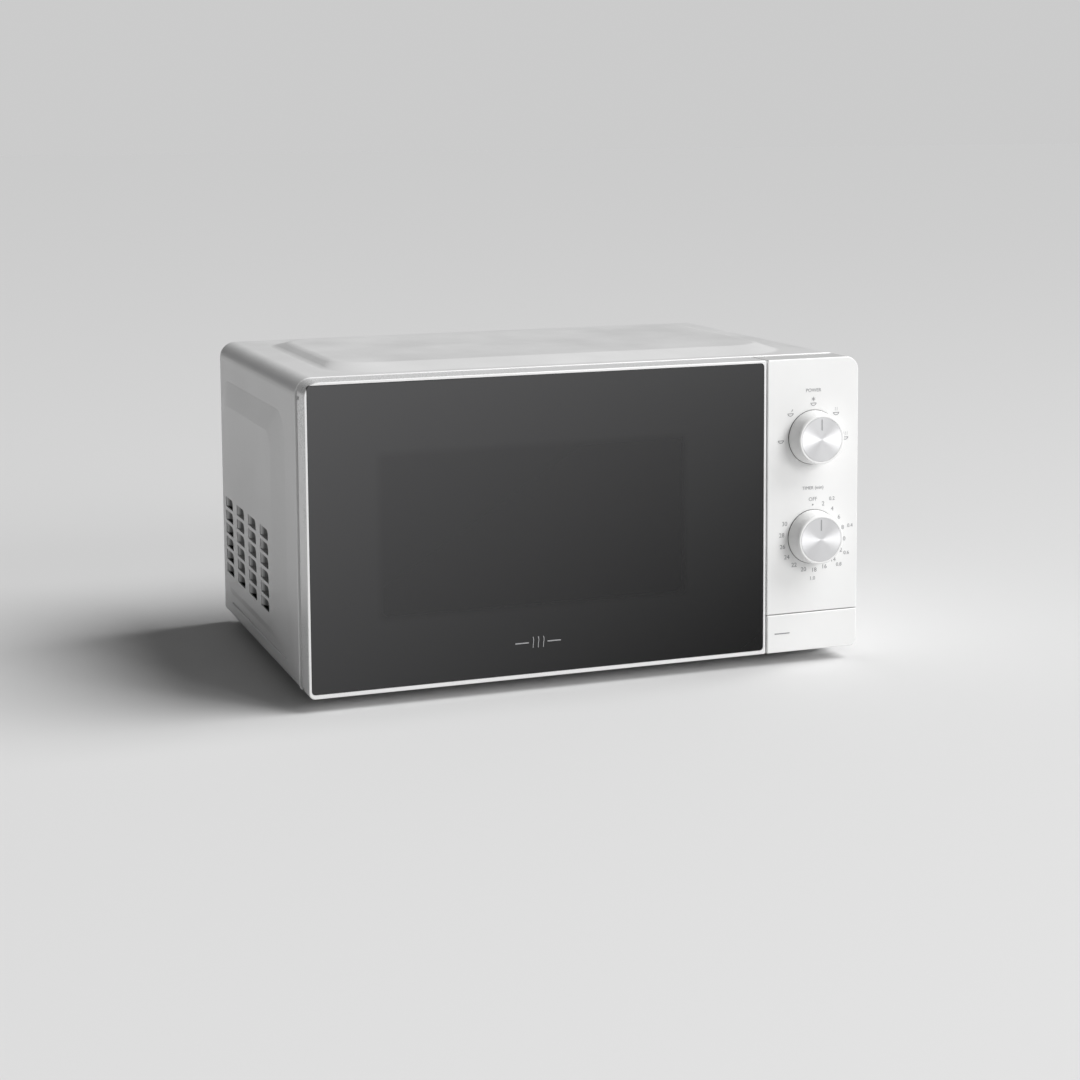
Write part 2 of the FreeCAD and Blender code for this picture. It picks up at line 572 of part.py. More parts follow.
def make_cavity():
    """Pressed oven liner, open at the front, with holes for the drive, the lamp and the microwaves."""
    body = new_body("cavity_liner")
    outside = new_sketch(body, "XZ_Plane", f"-({PLATE_REAR})", "cavity_outside")
    rounded(outside, CAVITY_LEFT, CAVITY_LOW, CAVITY_RIGHT, CAVITY_HIGH, "dims.cavity_round")
    pad(body, outside, f"{CAVITY_REAR} - {PLATE_REAR}", "cavity_block")
    inside = new_sketch(body, "XZ_Plane", f"-({PLATE_REAR})", "cavity_inside")
    wall = "dims.cavity_wall"
    rounded(inside, f"({CAVITY_LEFT} + {wall})", f"({CAVITY_LOW} + {wall})", f"({CAVITY_RIGHT} - {wall})",
            f"({CAVITY_HIGH} - {wall})", f"(dims.cavity_round - {wall})")
    pocket(body, inside, f"{CAVITY_REAR} - {PLATE_REAR} - {wall}", "cavity_hollow")
    guide_y, guide_z = guide_place()
    drive = rod("cavity_drive_hole", "z", (TURN_X, TURN_Y, f"{CAVITY_LOW} - {THROUGH}"), "dims.drive_hole",
                f"{2 * THROUGH}")
    port = box("cavity_port", (f"{CAVITY_RIGHT} - {THROUGH}", f"{guide_y} + 10", f"{guide_z} + 6"),
               (f"{CAVITY_RIGHT} + {THROUGH}", f"{guide_y} + dims.guide_long - 30",
                f"{guide_z} + dims.guide_tall - 8"))
    lamp_y, lamp_z = lamp_place()
    lights = [rod(f"cavity_light_{i}_{j}", "x", (f"{CAVITY_RIGHT} - {THROUGH}", f"{lamp_y} + {i * 6 - 6}",
                                                 f"{lamp_z} + {j * 6 - 6}"), "1.5", f"{2 * THROUGH}")
              for i in range(3) for j in range(3)]
    keep(cut("oven_cavity", body, [drive, port] + lights), "oven_cavity")


def guide_place():
    """Front Y and lower Z of the waveguide on the right-hand wall of the liner."""
    front = f"({REAR_FACE} - dims.guide_set - dims.guide_long)"
    low = f"({CAVITY_HIGH} - dims.guide_drop - dims.guide_tall)"
    return front, low


def lamp_place():
    """Y and Z of the lamp axis."""
    return f"({PLATE_REAR} + 62)", f"({CAVITY_HIGH} - 34)"


def make_lamp():
    """Lamp bulb and its holder beside the liner."""
    y, z = lamp_place()
    glass = rod("lamp_glass", "x", (f"{CAVITY_RIGHT} + 3", y, z), "9", "22")
    cap = rod("lamp_cap", "x", (f"{CAVITY_RIGHT} + 25", y, z), "6", "10")
    keep(fuse("lamp_bulb", [glass, cap]), "lamp_bulb")
    shell = box("holder_block", (CAVITY_RIGHT, f"{y} - 14", f"{z} - 14"),
                (f"{CAVITY_RIGHT} + 36", f"{y} + 14", f"{z} + 14"))
    hollow = rod("holder_hollow", "x", (f"{CAVITY_RIGHT} - 1", y, z), "11", "26")
    neck = rod("holder_neck", "x", (f"{CAVITY_RIGHT} - 1", y, z), "6 + dims.fit_gap", "36 + dims.fit_gap")
    keep(cut("lamp_holder", shell, [hollow, neck]), "lamp_holder")


def make_waveguide_cover():
    """Thin mica sheet that covers the microwave port inside the liner."""
    guide_y, guide_z = guide_place()
    inner = f"{CAVITY_RIGHT} - dims.cavity_wall"
    keep(box("waveguide_cover", (f"{inner} - 0.6", f"{guide_y} + 2", f"{guide_z} + 1"),
             (inner, f"{guide_y} + dims.guide_long - dims.antenna_set", f"{guide_z} + dims.guide_tall - 3")),
         "waveguide_cover")


# ---- hinges ----------------------------------------------------------------------------------

def tab_lows():
    """Lower Z of the lower and the upper hinge tab."""
    return [f"({BASE} + dims.cover_lip + 0.5)", f"({TOP} - dims.hinge_drop)"]


def make_hinges():
    """Steel hinge tabs that pass through the front plate, each with an upright pin."""
    for label, low, step in (("lower_hinge", tab_lows()[0], 1), ("upper_hinge", tab_lows()[1], -1)):
        high = f"{low} + dims.tab_thick"
        head = rod(f"{label}_head", "z", (HINGE_X, HINGE_Y, low), "dims.tab_half", "dims.tab_thick")
        neck = box(f"{label}_neck", (f"{HINGE_X} - dims.tab_half", HINGE_Y, low),
                   (f"{HINGE_X} + dims.tab_half", f"{PLATE_REAR} + dims.sheet_thick", high))
        flange = box(f"{label}_flange", (f"{HINGE_X} - dims.tab_half", PLATE_REAR, f"{low} - 6 + {step * 6}"),
                     (f"{HINGE_X} + 10", f"{PLATE_REAR} + dims.sheet_thick", f"{high} + 6 + {step * 6}"))
        pin_low = high if step > 0 else f"{low} - dims.pin_long"
        pin = rod(f"{label}_pin", "z", (HINGE_X, HINGE_Y, pin_low), "dims.pin_radius", "dims.pin_long")
        keep(fuse(label, [head, neck, flange, pin]), label)


# ---- door ------------------------------------------------------------------------------------

def window_box(grow):
    """Left, low, right and high of the window, grown outwards by an expression."""
    return (f"({LEFT} + dims.window_left - ({grow}))", f"({BASE} + dims.window_low - ({grow}))",
            f"({SEAM} - dims.window_right + ({grow}))", f"({TOP} - dims.window_high + ({grow}))")


def hollow_box(shrink):
    """Left, low, right and high of the space inside the door, drawn in by an expression."""
    return (f"({LEFT} + dims.door_post + ({shrink}))", f"({BASE} + dims.door_wall + ({shrink}))",
            f"({SEAM} - dims.door_wall - ({shrink}))", f"({TOP} - dims.door_wall - ({shrink}))")


def slab(name, outline, front, rear):
    """Upright block with an outline across X and Z."""
    left, low, right, high = outline
    return box(name, (left, front, low), (right, rear, high))


def make_door_frame():
    """Moulded door frame: rim, ledge behind the glass and a solid hinge post."""
    body = new_body("door_moulding")
    outline = new_sketch(body, "XZ_Plane", f"-({FRONT})", "door_outline")
    rectangle(outline, LEFT, BASE, SEAM, TOP)
    shape = pad(body, outline, "dims.door_thick", "door_block")
    for key, x, z, radius in (("high_left", LEFT, TOP, "dims.door_corner"), ("low_left", LEFT, BASE,
                              "dims.door_corner_low"), ("high_right", SEAM, TOP, "1.2"),
                              ("low_right", SEAM, BASE, "1.2")):
        shape = body_fillet(body, shape, radius, lambda e: along(e, "y", {"x": x, "z": z}), f"door_{key}")
    shape = body_fillet(body, shape, "0.8", lambda e: flat_at(e, "y", FRONT), "door_front_round")
    recess = new_sketch(body, "XZ_Plane", f"-({FRONT} - 1)", "door_recess")
    rounded(recess, f"({LEFT} + dims.rim_side)", f"({BASE} + dims.rim_low)", f"({SEAM} - dims.rim_side)",
            f"({TOP} - dims.rim_side)", "dims.rim_low")
    pocket(body, recess, "dims.glass_thick + dims.glass_sink + 1", "door_glass_recess")
    window = new_sketch(body, "XZ_Plane", f"-({FRONT} - 1)", "door_window")
    rounded(window, *window_box("0"), "6")
    pocket(body, window, "dims.door_thick + 2", "door_window_cut")
    hollow = slab("door_hollow", hollow_box("0"), LEDGE_REAR, f"{DOOR_REAR} + {THROUGH}")
    corner = box("door_corner_block", (f"{LEFT} - 1", HINGE_Y, f"{BASE} - 1"),
                 (HINGE_X, f"{DOOR_REAR} + 1", f"{TOP} + 1"))
    round_post = rod("door_corner_rod", "z", (HINGE_X, HINGE_Y, f"{BASE} - 2"), "dims.hinge_inset",
                     "dims.body_tall + 4")
    cuts = [hollow, cut("door_corner", corner, [round_post])]
    for low, step in zip(tab_lows(), (1, -1)):
        play = "(dims.notch_tall - dims.tab_thick) / 2"
        cuts.append(box("hinge_notch", (f"{LEFT} - 1", f"{HINGE_Y} - dims.notch_half", f"{low} - {play}"),
                        (f"{HINGE_X} + dims.notch_half", f"{DOOR_REAR} + 1",
                         f"{low} - {play} + dims.notch_tall")))
        start = f"{low} + dims.tab_thick" if step > 0 else f"{low} - dims.pin_long - 1"
        cuts.append(rod("hinge_bore", "z", (HINGE_X, HINGE_Y, start), "dims.pin_radius + dims.run_gap",
                        "dims.pin_long + 1"))
    keep(cut("door_frame", body, cuts), "door_frame")


def make_door_glass():
    """Tinted glass that covers the whole door face inside the rim."""
    body = new_body("door_glass")
    outline = new_sketch(body, "XZ_Plane", f"-({FRONT} + dims.glass_sink)", "glass_outline")
    gap = "dims.fit_gap"
    rounded(outline, f"({LEFT} + dims.rim_side + {gap})", f"({BASE} + dims.rim_low + {gap})",
            f"({SEAM} - dims.rim_side - {gap})", f"({TOP} - dims.rim_side - {gap})",
            "(dims.rim_low - dims.fit_gap)")
    shape = pad(body, outline, "dims.glass_thick", "glass_plate")
    body_fillet(body, shape, "0.4", lambda e: flat_at(e, "y", f"{FRONT} + dims.glass_sink"), "glass_edge")
    keep(body, "door_glass")


def hook_lows():
    """Lower Z of the two door hooks."""
    return [f"({LATCH_LOW} + dims.hook_low)", f"({LATCH_HIGH} - dims.hook_low - dims.hook_tall)"]


def make_door_inside():
    """Screen sheet, choke ring, rear cover and window film inside the door."""
    screen_rear = f"({LEDGE_REAR} + dims.screen_thick)"
    keep(slab("door_screen", hollow_box("dims.fit_gap"), LEDGE_REAR, screen_rear), "door_screen")
    grow = "dims.choke_wide"
    ring = slab("choke_outer", window_box(f"{grow} + 6"), screen_rear, CHOKE_REAR)
    hole = slab("choke_inner", window_box("6"), f"{screen_rear} - 1", f"{CHOKE_REAR} + 1")
    groove_out = slab("choke_groove_outer", window_box(f"{grow} + 3"), f"{screen_rear} + 2",
                      f"{CHOKE_REAR} + 1")
    groove_in = slab("choke_groove_inner", window_box("9"), f"{screen_rear} + 1", f"{CHOKE_REAR} + 2")
    keep(cut("door_choke", ring, [hole, cut("choke_groove", groove_out, [groove_in])]), "door_choke")
    cover = slab("choke_cover_block", hollow_box("dims.fit_gap"), CHOKE_REAR, DOOR_REAR)
    opening = slab("choke_cover_window", window_box("5"), f"{CHOKE_REAR} - 1", f"{DOOR_REAR} + 1")
    slots = [box("cover_hook_slot", (f"{LATCH_X} - 1", f"{CHOKE_REAR} - 1", f"{low} - dims.hook_barb - 1"),
                 (f"{LATCH_X} + dims.latch_wide + 1", f"{DOOR_REAR} + 1",
                  f"{low} + dims.hook_tall + dims.latch_travel + 1")) for low in hook_lows()]
    keep(cut("door_choke_cover", cover, [opening] + slots), "door_choke_cover")
    film_front = f"({DOOR_REAR} - 2)"
    film = slab("door_inner_film", window_box("5 - dims.fit_gap"), film_front,
                f"{film_front} + dims.film_thick")
    keep(film, "door_inner_film")


def make_latch():
    """Sliding bar with two rearward hooks, and the spring above it."""
    bar_rear = f"({CHOKE_REAR} - 1)"
    bar_front = f"({bar_rear} - dims.latch_bar)"
    body = new_body("latch_hooks")
    outline = new_sketch(body, "YZ_Plane", LATCH_X, "latch_outline")
    polygon(outline, [(bar_front, LATCH_LOW), (bar_rear, LATCH_LOW), (bar_rear, LATCH_HIGH),
                      (bar_front, LATCH_HIGH)])
    pad(body, outline, "dims.latch_wide", "latch_bar")
    tip = f"({PLATE} + dims.hook_reach)"
    for index, low in enumerate(hook_lows()):
        hook = new_sketch(body, "YZ_Plane", LATCH_X, f"hook_outline_{index}")
        root = f"{bar_rear} - 1"
        barb = f"{low} - dims.hook_barb"
        high = f"{low} + dims.hook_tall"
        polygon(hook, [(root, low), (f"{tip} - 8", low), (f"{tip} - 8", barb), (f"{tip} - 3", barb),
                       (tip, f"{low} + 2"), (f"{tip} - 5", high), (root, high)])
        pad(body, hook, "dims.latch_wide", f"hook_{index}")
    keep(body, "latch_hooks")
    rise = f"({TOP} - dims.door_wall) - {LATCH_HIGH}"
    coil("latch_spring", (f"{LATCH_X} + dims.latch_wide / 2", f"{bar_rear} - dims.latch_bar / 2", LATCH_HIGH),
         "z", rise, "2.6", "0.4", 9)


def coil(label, start, axis, length, radius, wire, turns):
    """Round-wire compression spring between two faces."""
    body = new_body(label)
    profile = new_sketch(body, "XZ_Plane", "0", f"{label}_wire")
    circle(profile, radius, f"{wire} + 0.1", wire)
    item = body.newObject("PartDesign::AdditiveHelix", f"{label}_helix")
    item.Profile = profile
    item.ReferenceAxis = (profile, ["V_Axis"])
    item.Mode = "height-turns-angle"
    item.setExpression("Height", f"({length}) - 2 * {wire} - 0.2")
    item.Turns = turns
    place(body, start, axis)
    keep(body, label)


# ---- door release ----------------------------------------------------------------------------

def make_button():
    """Full-width push button under the control panel, with its guide stem, and the return spring."""
    gap = "0.4"
    body = new_body("door_button_cap")
    outline = new_sketch(body, "XZ_Plane", f"-({FRONT})", "button_outline")
    rectangle(outline, f"({PANEL_LEFT} + {gap})", BASE, f"({RIGHT} - {gap})", f"({BUTTON_TOP} - {gap})")
    shape = pad(body, outline, "dims.button_deep", "button_block")
    shape = body_fillet(body, shape, "dims.cover_corner_low",
                        lambda e: along(e, "y", {"x": f"{RIGHT} - {gap}", "z": BASE}), "button_corner")
    body_fillet(body, shape, "0.8", lambda e: flat_at(e, "y", FRONT), "button_front_round")
    hollow = new_sketch(body, "XZ_Plane", f"-({FRONT} + dims.button_wall)", "button_hollow")
    wall = "dims.button_wall"
    rounded(hollow, f"({PANEL_LEFT} + {gap} + {wall})", f"({BASE} + {wall})", f"({RIGHT} - {gap} - {wall})",
            f"({BUTTON_TOP} - {gap} - {wall})", "dims.button_wall")
    pocket(body, hollow, "dims.button_deep", "button_hollow_cut")
    stem_start = f"({FRONT} + dims.button_wall)"
    stem_end = f"({PIVOT_Y} - dims.lever_round - dims.fit_gap - 0.1)"
    stem = rod("button_stem", "y", (STEM_X, f"{stem_start} - 1", STEM_Z), "dims.stem_radius",
               f"{stem_end} - {stem_start} + 1")
    collar = rod("button_collar", "y", (STEM_X, f"{stem_start} - 1", STEM_Z), "dims.stem_radius + 3",
                 "dims.button_deep - dims.button_wall + 1")
    keep(fuse("door_open_button", [body, stem, collar]), "door_open_button")
    collar_end = f"({FRONT} + dims.button_deep)"
    coil("button_spring", (STEM_X, collar_end, STEM_Z), "y",
         f"{PLATE} - dims.fit_gap - 2 - {collar_end}", "4.6", "0.4", 3)


def make_release_lever():
    """Bell crank: the button pushes its lower arm, and its rear arm lifts the lower hook."""
    low_x = f"{STEM_X} - 4"
    high_x = f"{STEM_X} + 4"
    shaft = rod("lever_shaft", "x", (LATCH_X, PIVOT_Y, PIVOT_Z), "2.5", f"{high_x} - {LATCH_X}")
    foot = rod("lever_foot", "x", (low_x, PIVOT_Y, STEM_Z), "dims.lever_round", "8")
    arm = box("lever_arm", (low_x, f"{PIVOT_Y} - 1", STEM_Z), (high_x, f"{PIVOT_Y} + 1", PIVOT_Z))
    lift = box("lever_lift", (LATCH_X, PIVOT_Y, f"{PIVOT_Z} - 2"),
               (f"{LATCH_X} + dims.latch_wide", f"{PIVOT_Y} + dims.lever_lift", f"{PIVOT_Z} + 2"))
    keep(fuse("release_lever", [shaft, foot, arm, lift]), "release_lever")


def bracket_right():
    """X of the plate of the interlock bracket that carries the lever shaft and the switches."""
    return f"({LATCH_X} + dims.latch_wide + 5)"


def make_interlock():
    """Bracket behind the hook slots with three door switches on it."""
    left = bracket_right()
    right = f"({left} + 2)"
    low = f"{BASE} + 24"
    high = f"{TOP} - 30"
    rear = f"({PLATE_REAR} + dims.bracket_deep)"
    wall = box("bracket_wall", (left, PLATE_REAR, low), (right, rear, high))
    foot = box("bracket_foot", (right, PLATE_REAR, low),
               (f"{SEAM} + dims.plate_tuck - 1", f"{PLATE_REAR} + 2", high))
    bore = rod("bracket_bore", "x", (f"{left} - 1", PIVOT_Y, PIVOT_Z), "2.5 + dims.run_gap", "4")
    way = box("bracket_way", (f"{right} - dims.run_gap", f"{PLATE_REAR} - 1", f"{BASE} - 1"),
              (f"{SEAM} + dims.plate_tuck", f"{PLATE_REAR} + 4", f"{PIVOT_Z} + 8"))
    keep(cut("interlock_bracket", fuse("bracket_blank", [wall, foot]), [bore, way]), "interlock_bracket")
    levels = {"primary_switch": f"({hook_lows()[1]} + 22)", "secondary_switch": f"({hook_lows()[0]} + 26)",
              "monitor_switch": f"({hook_lows()[0]} + 52)"}
    for label, level in levels.items():
        start = f"({PLATE_REAR} + 4)"
        case = box(f"{label}_case", (right, start, level),
                   (f"{right} + dims.switch_thick", f"{start} + dims.switch_long",
                    f"{level} + dims.switch_tall"))
        plunger = box(f"{label}_plunger", (f"{right} + 2.5", f"{start} + 8", f"{level} - 1.5"),
                      (f"{right} + 5.5", f"{start} + 11", level))
        prongs = [box(f"{label}_prong_{i}", (f"{right} + 3.6", f"{start} + dims.switch_long",
                                             f"{level} + {3 + 5 * i}"),
                      (f"{right} + 4.4", f"{start} + dims.switch_long + 7", f"{level} + {5 + 5 * i}"))
                  for i in range(2)]
        keep(fuse(label, [case, plunger] + prongs), label)


# ---- control panel and dials -----------------------------------------------------------------

def make_control_panel():
    """Hollow moulding beside the door, with dial holes and the guide wall of the button stem."""
    body = new_body("panel_moulding")
    outline = new_sketch(body, "XZ_Plane", f"-({FRONT})", "panel_outline")
    rectangle(outline, PANEL_LEFT, BASE, RIGHT, TOP)
    depth = f"{PLATE} - dims.fit_gap - {FRONT}"
    shape = pad(body, outline, depth, "panel_block")
    for key, x, z, radius in (("high_right", RIGHT, TOP, "dims.door_corner"),
                              ("high_left", PANEL_LEFT, TOP, "dims.seam_round"),
                              ("low_right", RIGHT, BASE, "dims.cover_corner_low")):
        shape = body_fillet(body, shape, radius, lambda e: along(e, "y", {"x": x, "z": z}), f"panel_{key}")
    bay = new_sketch(body, "XZ_Plane", f"-({FRONT} - 1)", "panel_bay")
    rectangle(bay, f"({PANEL_LEFT} - 1)", f"({BASE} - 1)", f"({RIGHT} + 1)", f"({BUTTON_TOP} + dims.fit_gap)")
    shape = pocket(body, bay, f"{PLATE} - dims.fit_gap - 2 - ({FRONT} - 1)", "panel_bay_cut")
    body_fillet(body, shape, "0.8", lambda e: flat_at(e, "y", FRONT), "panel_front_round")
    wall = "dims.panel_wall"
    hollow = box("panel_hollow",
                 (f"{PANEL_LEFT} + {wall}", f"{FRONT} + {wall}", f"{BUTTON_TOP} + dims.fit_gap + {wall}"),
                 (f"{RIGHT} - {wall}", f"{PLATE} + {THROUGH}", f"{TOP} - {wall}"))
    hollow = soften("panel_hollow_round", hollow, "dims.door_corner - dims.panel_wall",
                    lambda e: along(e, "y", {"x": f"{RIGHT} - {wall}", "z": f"{TOP} - {wall}"}))
    holes = [rod(f"dial_hole_{i}", "y", (PANEL_MID, f"{FRONT} - 1", z), "dims.shaft_radius + 1",
                 "dims.panel_wall + 2") for i, z in enumerate((KNOB_HIGH, KNOB_LOW))]
    holes.append(rod("stem_hole", "y", (STEM_X, f"{PLATE} - {THROUGH}", STEM_Z), "dims.stem_radius + 0.3",
                     f"{2 * THROUGH}"))
    keep(cut("control_panel", body, [hollow] + holes), "control_panel")


def make_knob(label, level):
    """Dial: a dished base ring with a flat face, a separate turned cap and its shaft."""
    seat = f"({FRONT} - dims.knob_seam)"
    face = f"({FRONT} - dims.knob_stand)"
    body = new_body(f"{label}_base")
    profile = new_sketch(body, "XY_Plane", "0", f"{label}_profile")
    well = f"({face} + dims.cap_thick)"
    polygon(profile, [("0", seat), ("dims.knob_base", seat), ("dims.knob_base - 0.3", f"{seat} - 3"),
                      ("dims.knob_rim", f"({face} + 1)"), ("dims.knob_rim - 1", face),
                      ("dims.cap_radius + dims.fit_gap", face), ("dims.cap_radius + dims.fit_gap", well),
                      ("0", well)])
    shape = revolve(body, profile, f"{label}_turned")
    body_fillet(body, shape, "1", lambda e: flat_at(e, "y", f"{seat} - 3") or flat_at(e, "y", f"{face} + 1"),
                f"{label}_round")
    place_turned(body, level)
    bore = rod(f"{label}_bore", "y", (PANEL_MID, f"{seat} - 8", level), "dims.shaft_radius", "9")
    keep(cut(label, body, [bore]), label)
    cap = new_body(f"{label}_cap")
    disc = new_sketch(cap, "XY_Plane", "0", f"{label}_cap_profile")
    rectangle(disc, "0", face, "dims.cap_radius", well)
    revolve(cap, disc, f"{label}_cap_turned")
    place_turned(cap, level)
    keep(cap, f"{label}_cap")


def place_turned(body, level):
    """Put a body that was turned about its own Y axis on a dial's axis."""
    body.setExpression(".Placement.Base.x", PANEL_MID)
    body.setExpression(".Placement.Base.z", level)


def make_dials():
    """Both dials with their shafts, the power selector, and the timer with its bell."""
    for label, level, wide, deep in (("power", KNOB_HIGH, "dims.selector_wide", "dims.selector_deep"),
                                     ("timer", KNOB_LOW, "dims.timer_wide", "dims.timer_deep")):
        make_knob(f"{label}_knob", level)
        start = f"({FRONT} - dims.knob_seam - 8)"
        front = f"({FRONT} + dims.panel_wall + dims.fit_gap)"
        shaft_end = f"({front} + 14)"
        shaft = rod(f"{label}_shaft", "y", (PANEL_MID, start, level), "dims.shaft_radius",
                    f"{shaft_end} - {start}")
        keep(shaft, f"{label}_shaft")
        clear_low = f"{BUTTON_TOP} + dims.fit_gap + 2 * dims.panel_wall"
        case_low = f"max({level} - {wide} / 2; {clear_low})"
        case = box(f"{label}_case", (f"{PANEL_MID} - {wide} / 2", front, case_low),
                   (f"{PANEL_MID} + {wide} / 2", f"{front} + {deep}", f"{level} + {wide} / 2"))
        case = soften(f"{label}_case_round", case, "4", lambda e: along(e, "y"))
        bore = rod(f"{label}_case_bore", "y", (PANEL_MID, f"{front} - 1", level),
                   "dims.shaft_radius + dims.run_gap", f"{shaft_end} + 0.5 - ({front} - 1)")
        node = "power_selector" if label == "power" else "timer_unit"
        keep(cut(node, case, [bore]), node)
    rear = f"({FRONT} + dims.panel_wall + dims.fit_gap + dims.timer_deep)"
    dome = rod("bell_outer", "y", (PANEL_MID, rear, KNOB_LOW), "dims.bell_radius", "9")
    dish = rod("bell_inner", "y", (PANEL_MID, rear, KNOB_LOW), "dims.bell_radius - 1", "8")
    post = rod("bell_post", "y", (PANEL_MID, rear, KNOB_LOW), "2", "8.5")
    keep(fuse("timer_bell", [cut("bell_cup", dome, [dish]), post]), "timer_bell")


# ---- turntable -------------------------------------------------------------------------------

def make_turntable():
    """Motor, coupler, glass tray, roller ring and its three rollers."""
    motor_high = f"({CAVITY_LOW} - 1)"
    case = rod("motor_case", "z", (TURN_X, TURN_Y, f"{motor_high} - dims.motor_tall"), "dims.motor_radius",
               "dims.motor_tall")
    bore = rod("motor_bore", "z", (TURN_X, TURN_Y, f"{motor_high} - 9"), "dims.drive_radius + dims.run_gap",
               "10")
    ears = [box(f"motor_ear_{i}", (f"{TURN_X} + {sign} * (dims.motor_radius + 3.5) - 5", f"{TURN_Y} - 4",
                                   f"{motor_high} - 1.5"),
                (f"{TURN_X} + {sign} * (dims.motor_radius + 3.5) + 5", f"{TURN_Y} + 4", motor_high))
            for i, sign in enumerate((-1, 1))]
    keep(cut("turntable_motor", fuse("motor_blank", [case] + ears), [bore]), "turntable_motor")

    body = new_body("coupler_hub")
    profile = new_sketch(body, "XZ_Plane", "0", "coupler_profile")
    hub_low = f"({OVEN_FLOOR} + 1)"
    hub_high = f"({TRAY_LOW} - dims.fit_gap)"
    drive = "dims.drive_radius"
    neck = "dims.coupler_radius - 4"
    polygon(profile, [("0", f"({motor_high} - 8)"), (drive, f"({motor_high} - 8)"), (drive, hub_low),
                      (neck, hub_low), (neck, hub_high), ("0", hub_high)])
    revolve(body, profile, "coupler_turned")
    lobe = new_sketch(body, "XY_Plane", hub_low, "coupler_lobe")
    rectangle(lobe, "0", "(-3)", "dims.coupler_radius", "3")
    lobe_pad = pad(body, lobe, f"{hub_high} - {hub_low}", "coupler_lobe_pad")
    repeat_round(body, lobe_pad, "Z_Axis", 3, "coupler_lobes")
    place(body, (TURN_X, TURN_Y, "0"))
    keep(body, "turntable_coupler")

    tray = new_body("glass_tray")
    section = new_sketch(tray, "XZ_Plane", "0", "tray_section")
    low = TRAY_LOW
    thick = "dims.tray_thick"
    rise = "dims.tray_rise"
    high = f"({low} + {rise} + {thick})"
    upper = f"({low} + {thick})"
    polygon(section, [("0", low), (f"({TRAY_RADIUS} - dims.tray_lip)", low),
                      (f"({TRAY_RADIUS} - 3)", f"({low} + {rise})"), (TRAY_RADIUS, f"({low} + {rise} + 1)"),
                      (TRAY_RADIUS, high), (f"({TRAY_RADIUS} - 5)", high),
                      (f"({TRAY_RADIUS} - dims.tray_lip - 2)", upper), ("0", upper)])
    shape = revolve(tray, section, "tray_turned")
    hub = new_sketch(tray, "XZ_Plane", "0", "tray_hub")
    ring_inner = "(dims.coupler_radius + 1)"
    polygon(hub, [(ring_inner, f"({low} - 4)"), ("(dims.coupler_radius + 4)", f"({low} - 4)"),
                  ("(dims.coupler_radius + 5)", f"({low} + 1)"), (ring_inner, f"({low} + 1)")])
    shape = revolve(tray, hub, "tray_hub_ring")
    body_fillet(tray, shape, "1.5", lambda e: flat_at(e, "z", f"{low} + {rise} + {thick}"), "tray_rim_round")
    place(tray, (TURN_X, TURN_Y, "0"))
    keep(tray, "glass_tray")

    ring_mid = f"({OVEN_FLOOR} + dims.roller_radius)"
    half = "dims.ring_section / 2"
    ring = tube("ring_hoop", "z", (TURN_X, TURN_Y, f"{ring_mid} - {half}"), "dims.ring_radius - 5",
                "dims.ring_radius - 5 - dims.ring_section", "dims.ring_section")
    pieces = [ring]
    for index in range(3):
        axle = rod(f"ring_axle_{index}", "x", ("0", "0", "0"), "dims.axle_radius", "14")
        turn = Rotation(AXES["z"], 120 * index + 90).multiply(Rotation(AXES["z"], AXES["x"]))
        spin_place(axle, turn, index, "dims.ring_radius - 6", ring_mid)
        pieces.append(axle)
    keep(fuse("roller_ring", pieces), "roller_ring")
    for index in range(3):
        turn = Rotation(AXES["z"], 120 * index + 90).multiply(Rotation(AXES["z"], AXES["x"]))
        wheel = rod(f"roller_wheel_{index}", "x", ("0", "0", "0"), "dims.roller_radius", "dims.roller_thick")
        spin_place(wheel, turn, index, "dims.ring_radius", ring_mid)
        hole = rod(f"roller_hole_{index}", "x", ("0", "0", "0"), "dims.axle_radius + dims.run_gap",
                   "dims.roller_thick + 2")
        spin_place(hole, turn, index, "dims.ring_radius - 1", ring_mid)
        keep(cut(f"roller_{index + 1}", wheel, [hole]), f"roller_{index + 1}")


def spin_place(item, turn, index, reach, level):
    """Put a radial piece at a reach from the turntable's axis, on spoke number index."""
    item.Placement = Placement(Vector(), turn)
    angle = 120 * index + 90
    item.setExpression(".Placement.Base.x", f"{TURN_X} + ({reach}) * cos({angle} deg)")
    item.setExpression(".Placement.Base.y", f"{TURN_Y} + ({reach}) * sin({angle} deg)")
    item.setExpression(".Placement.Base.z", level)


# ---- microwave source, power supply and cooling ----------------------------------------------

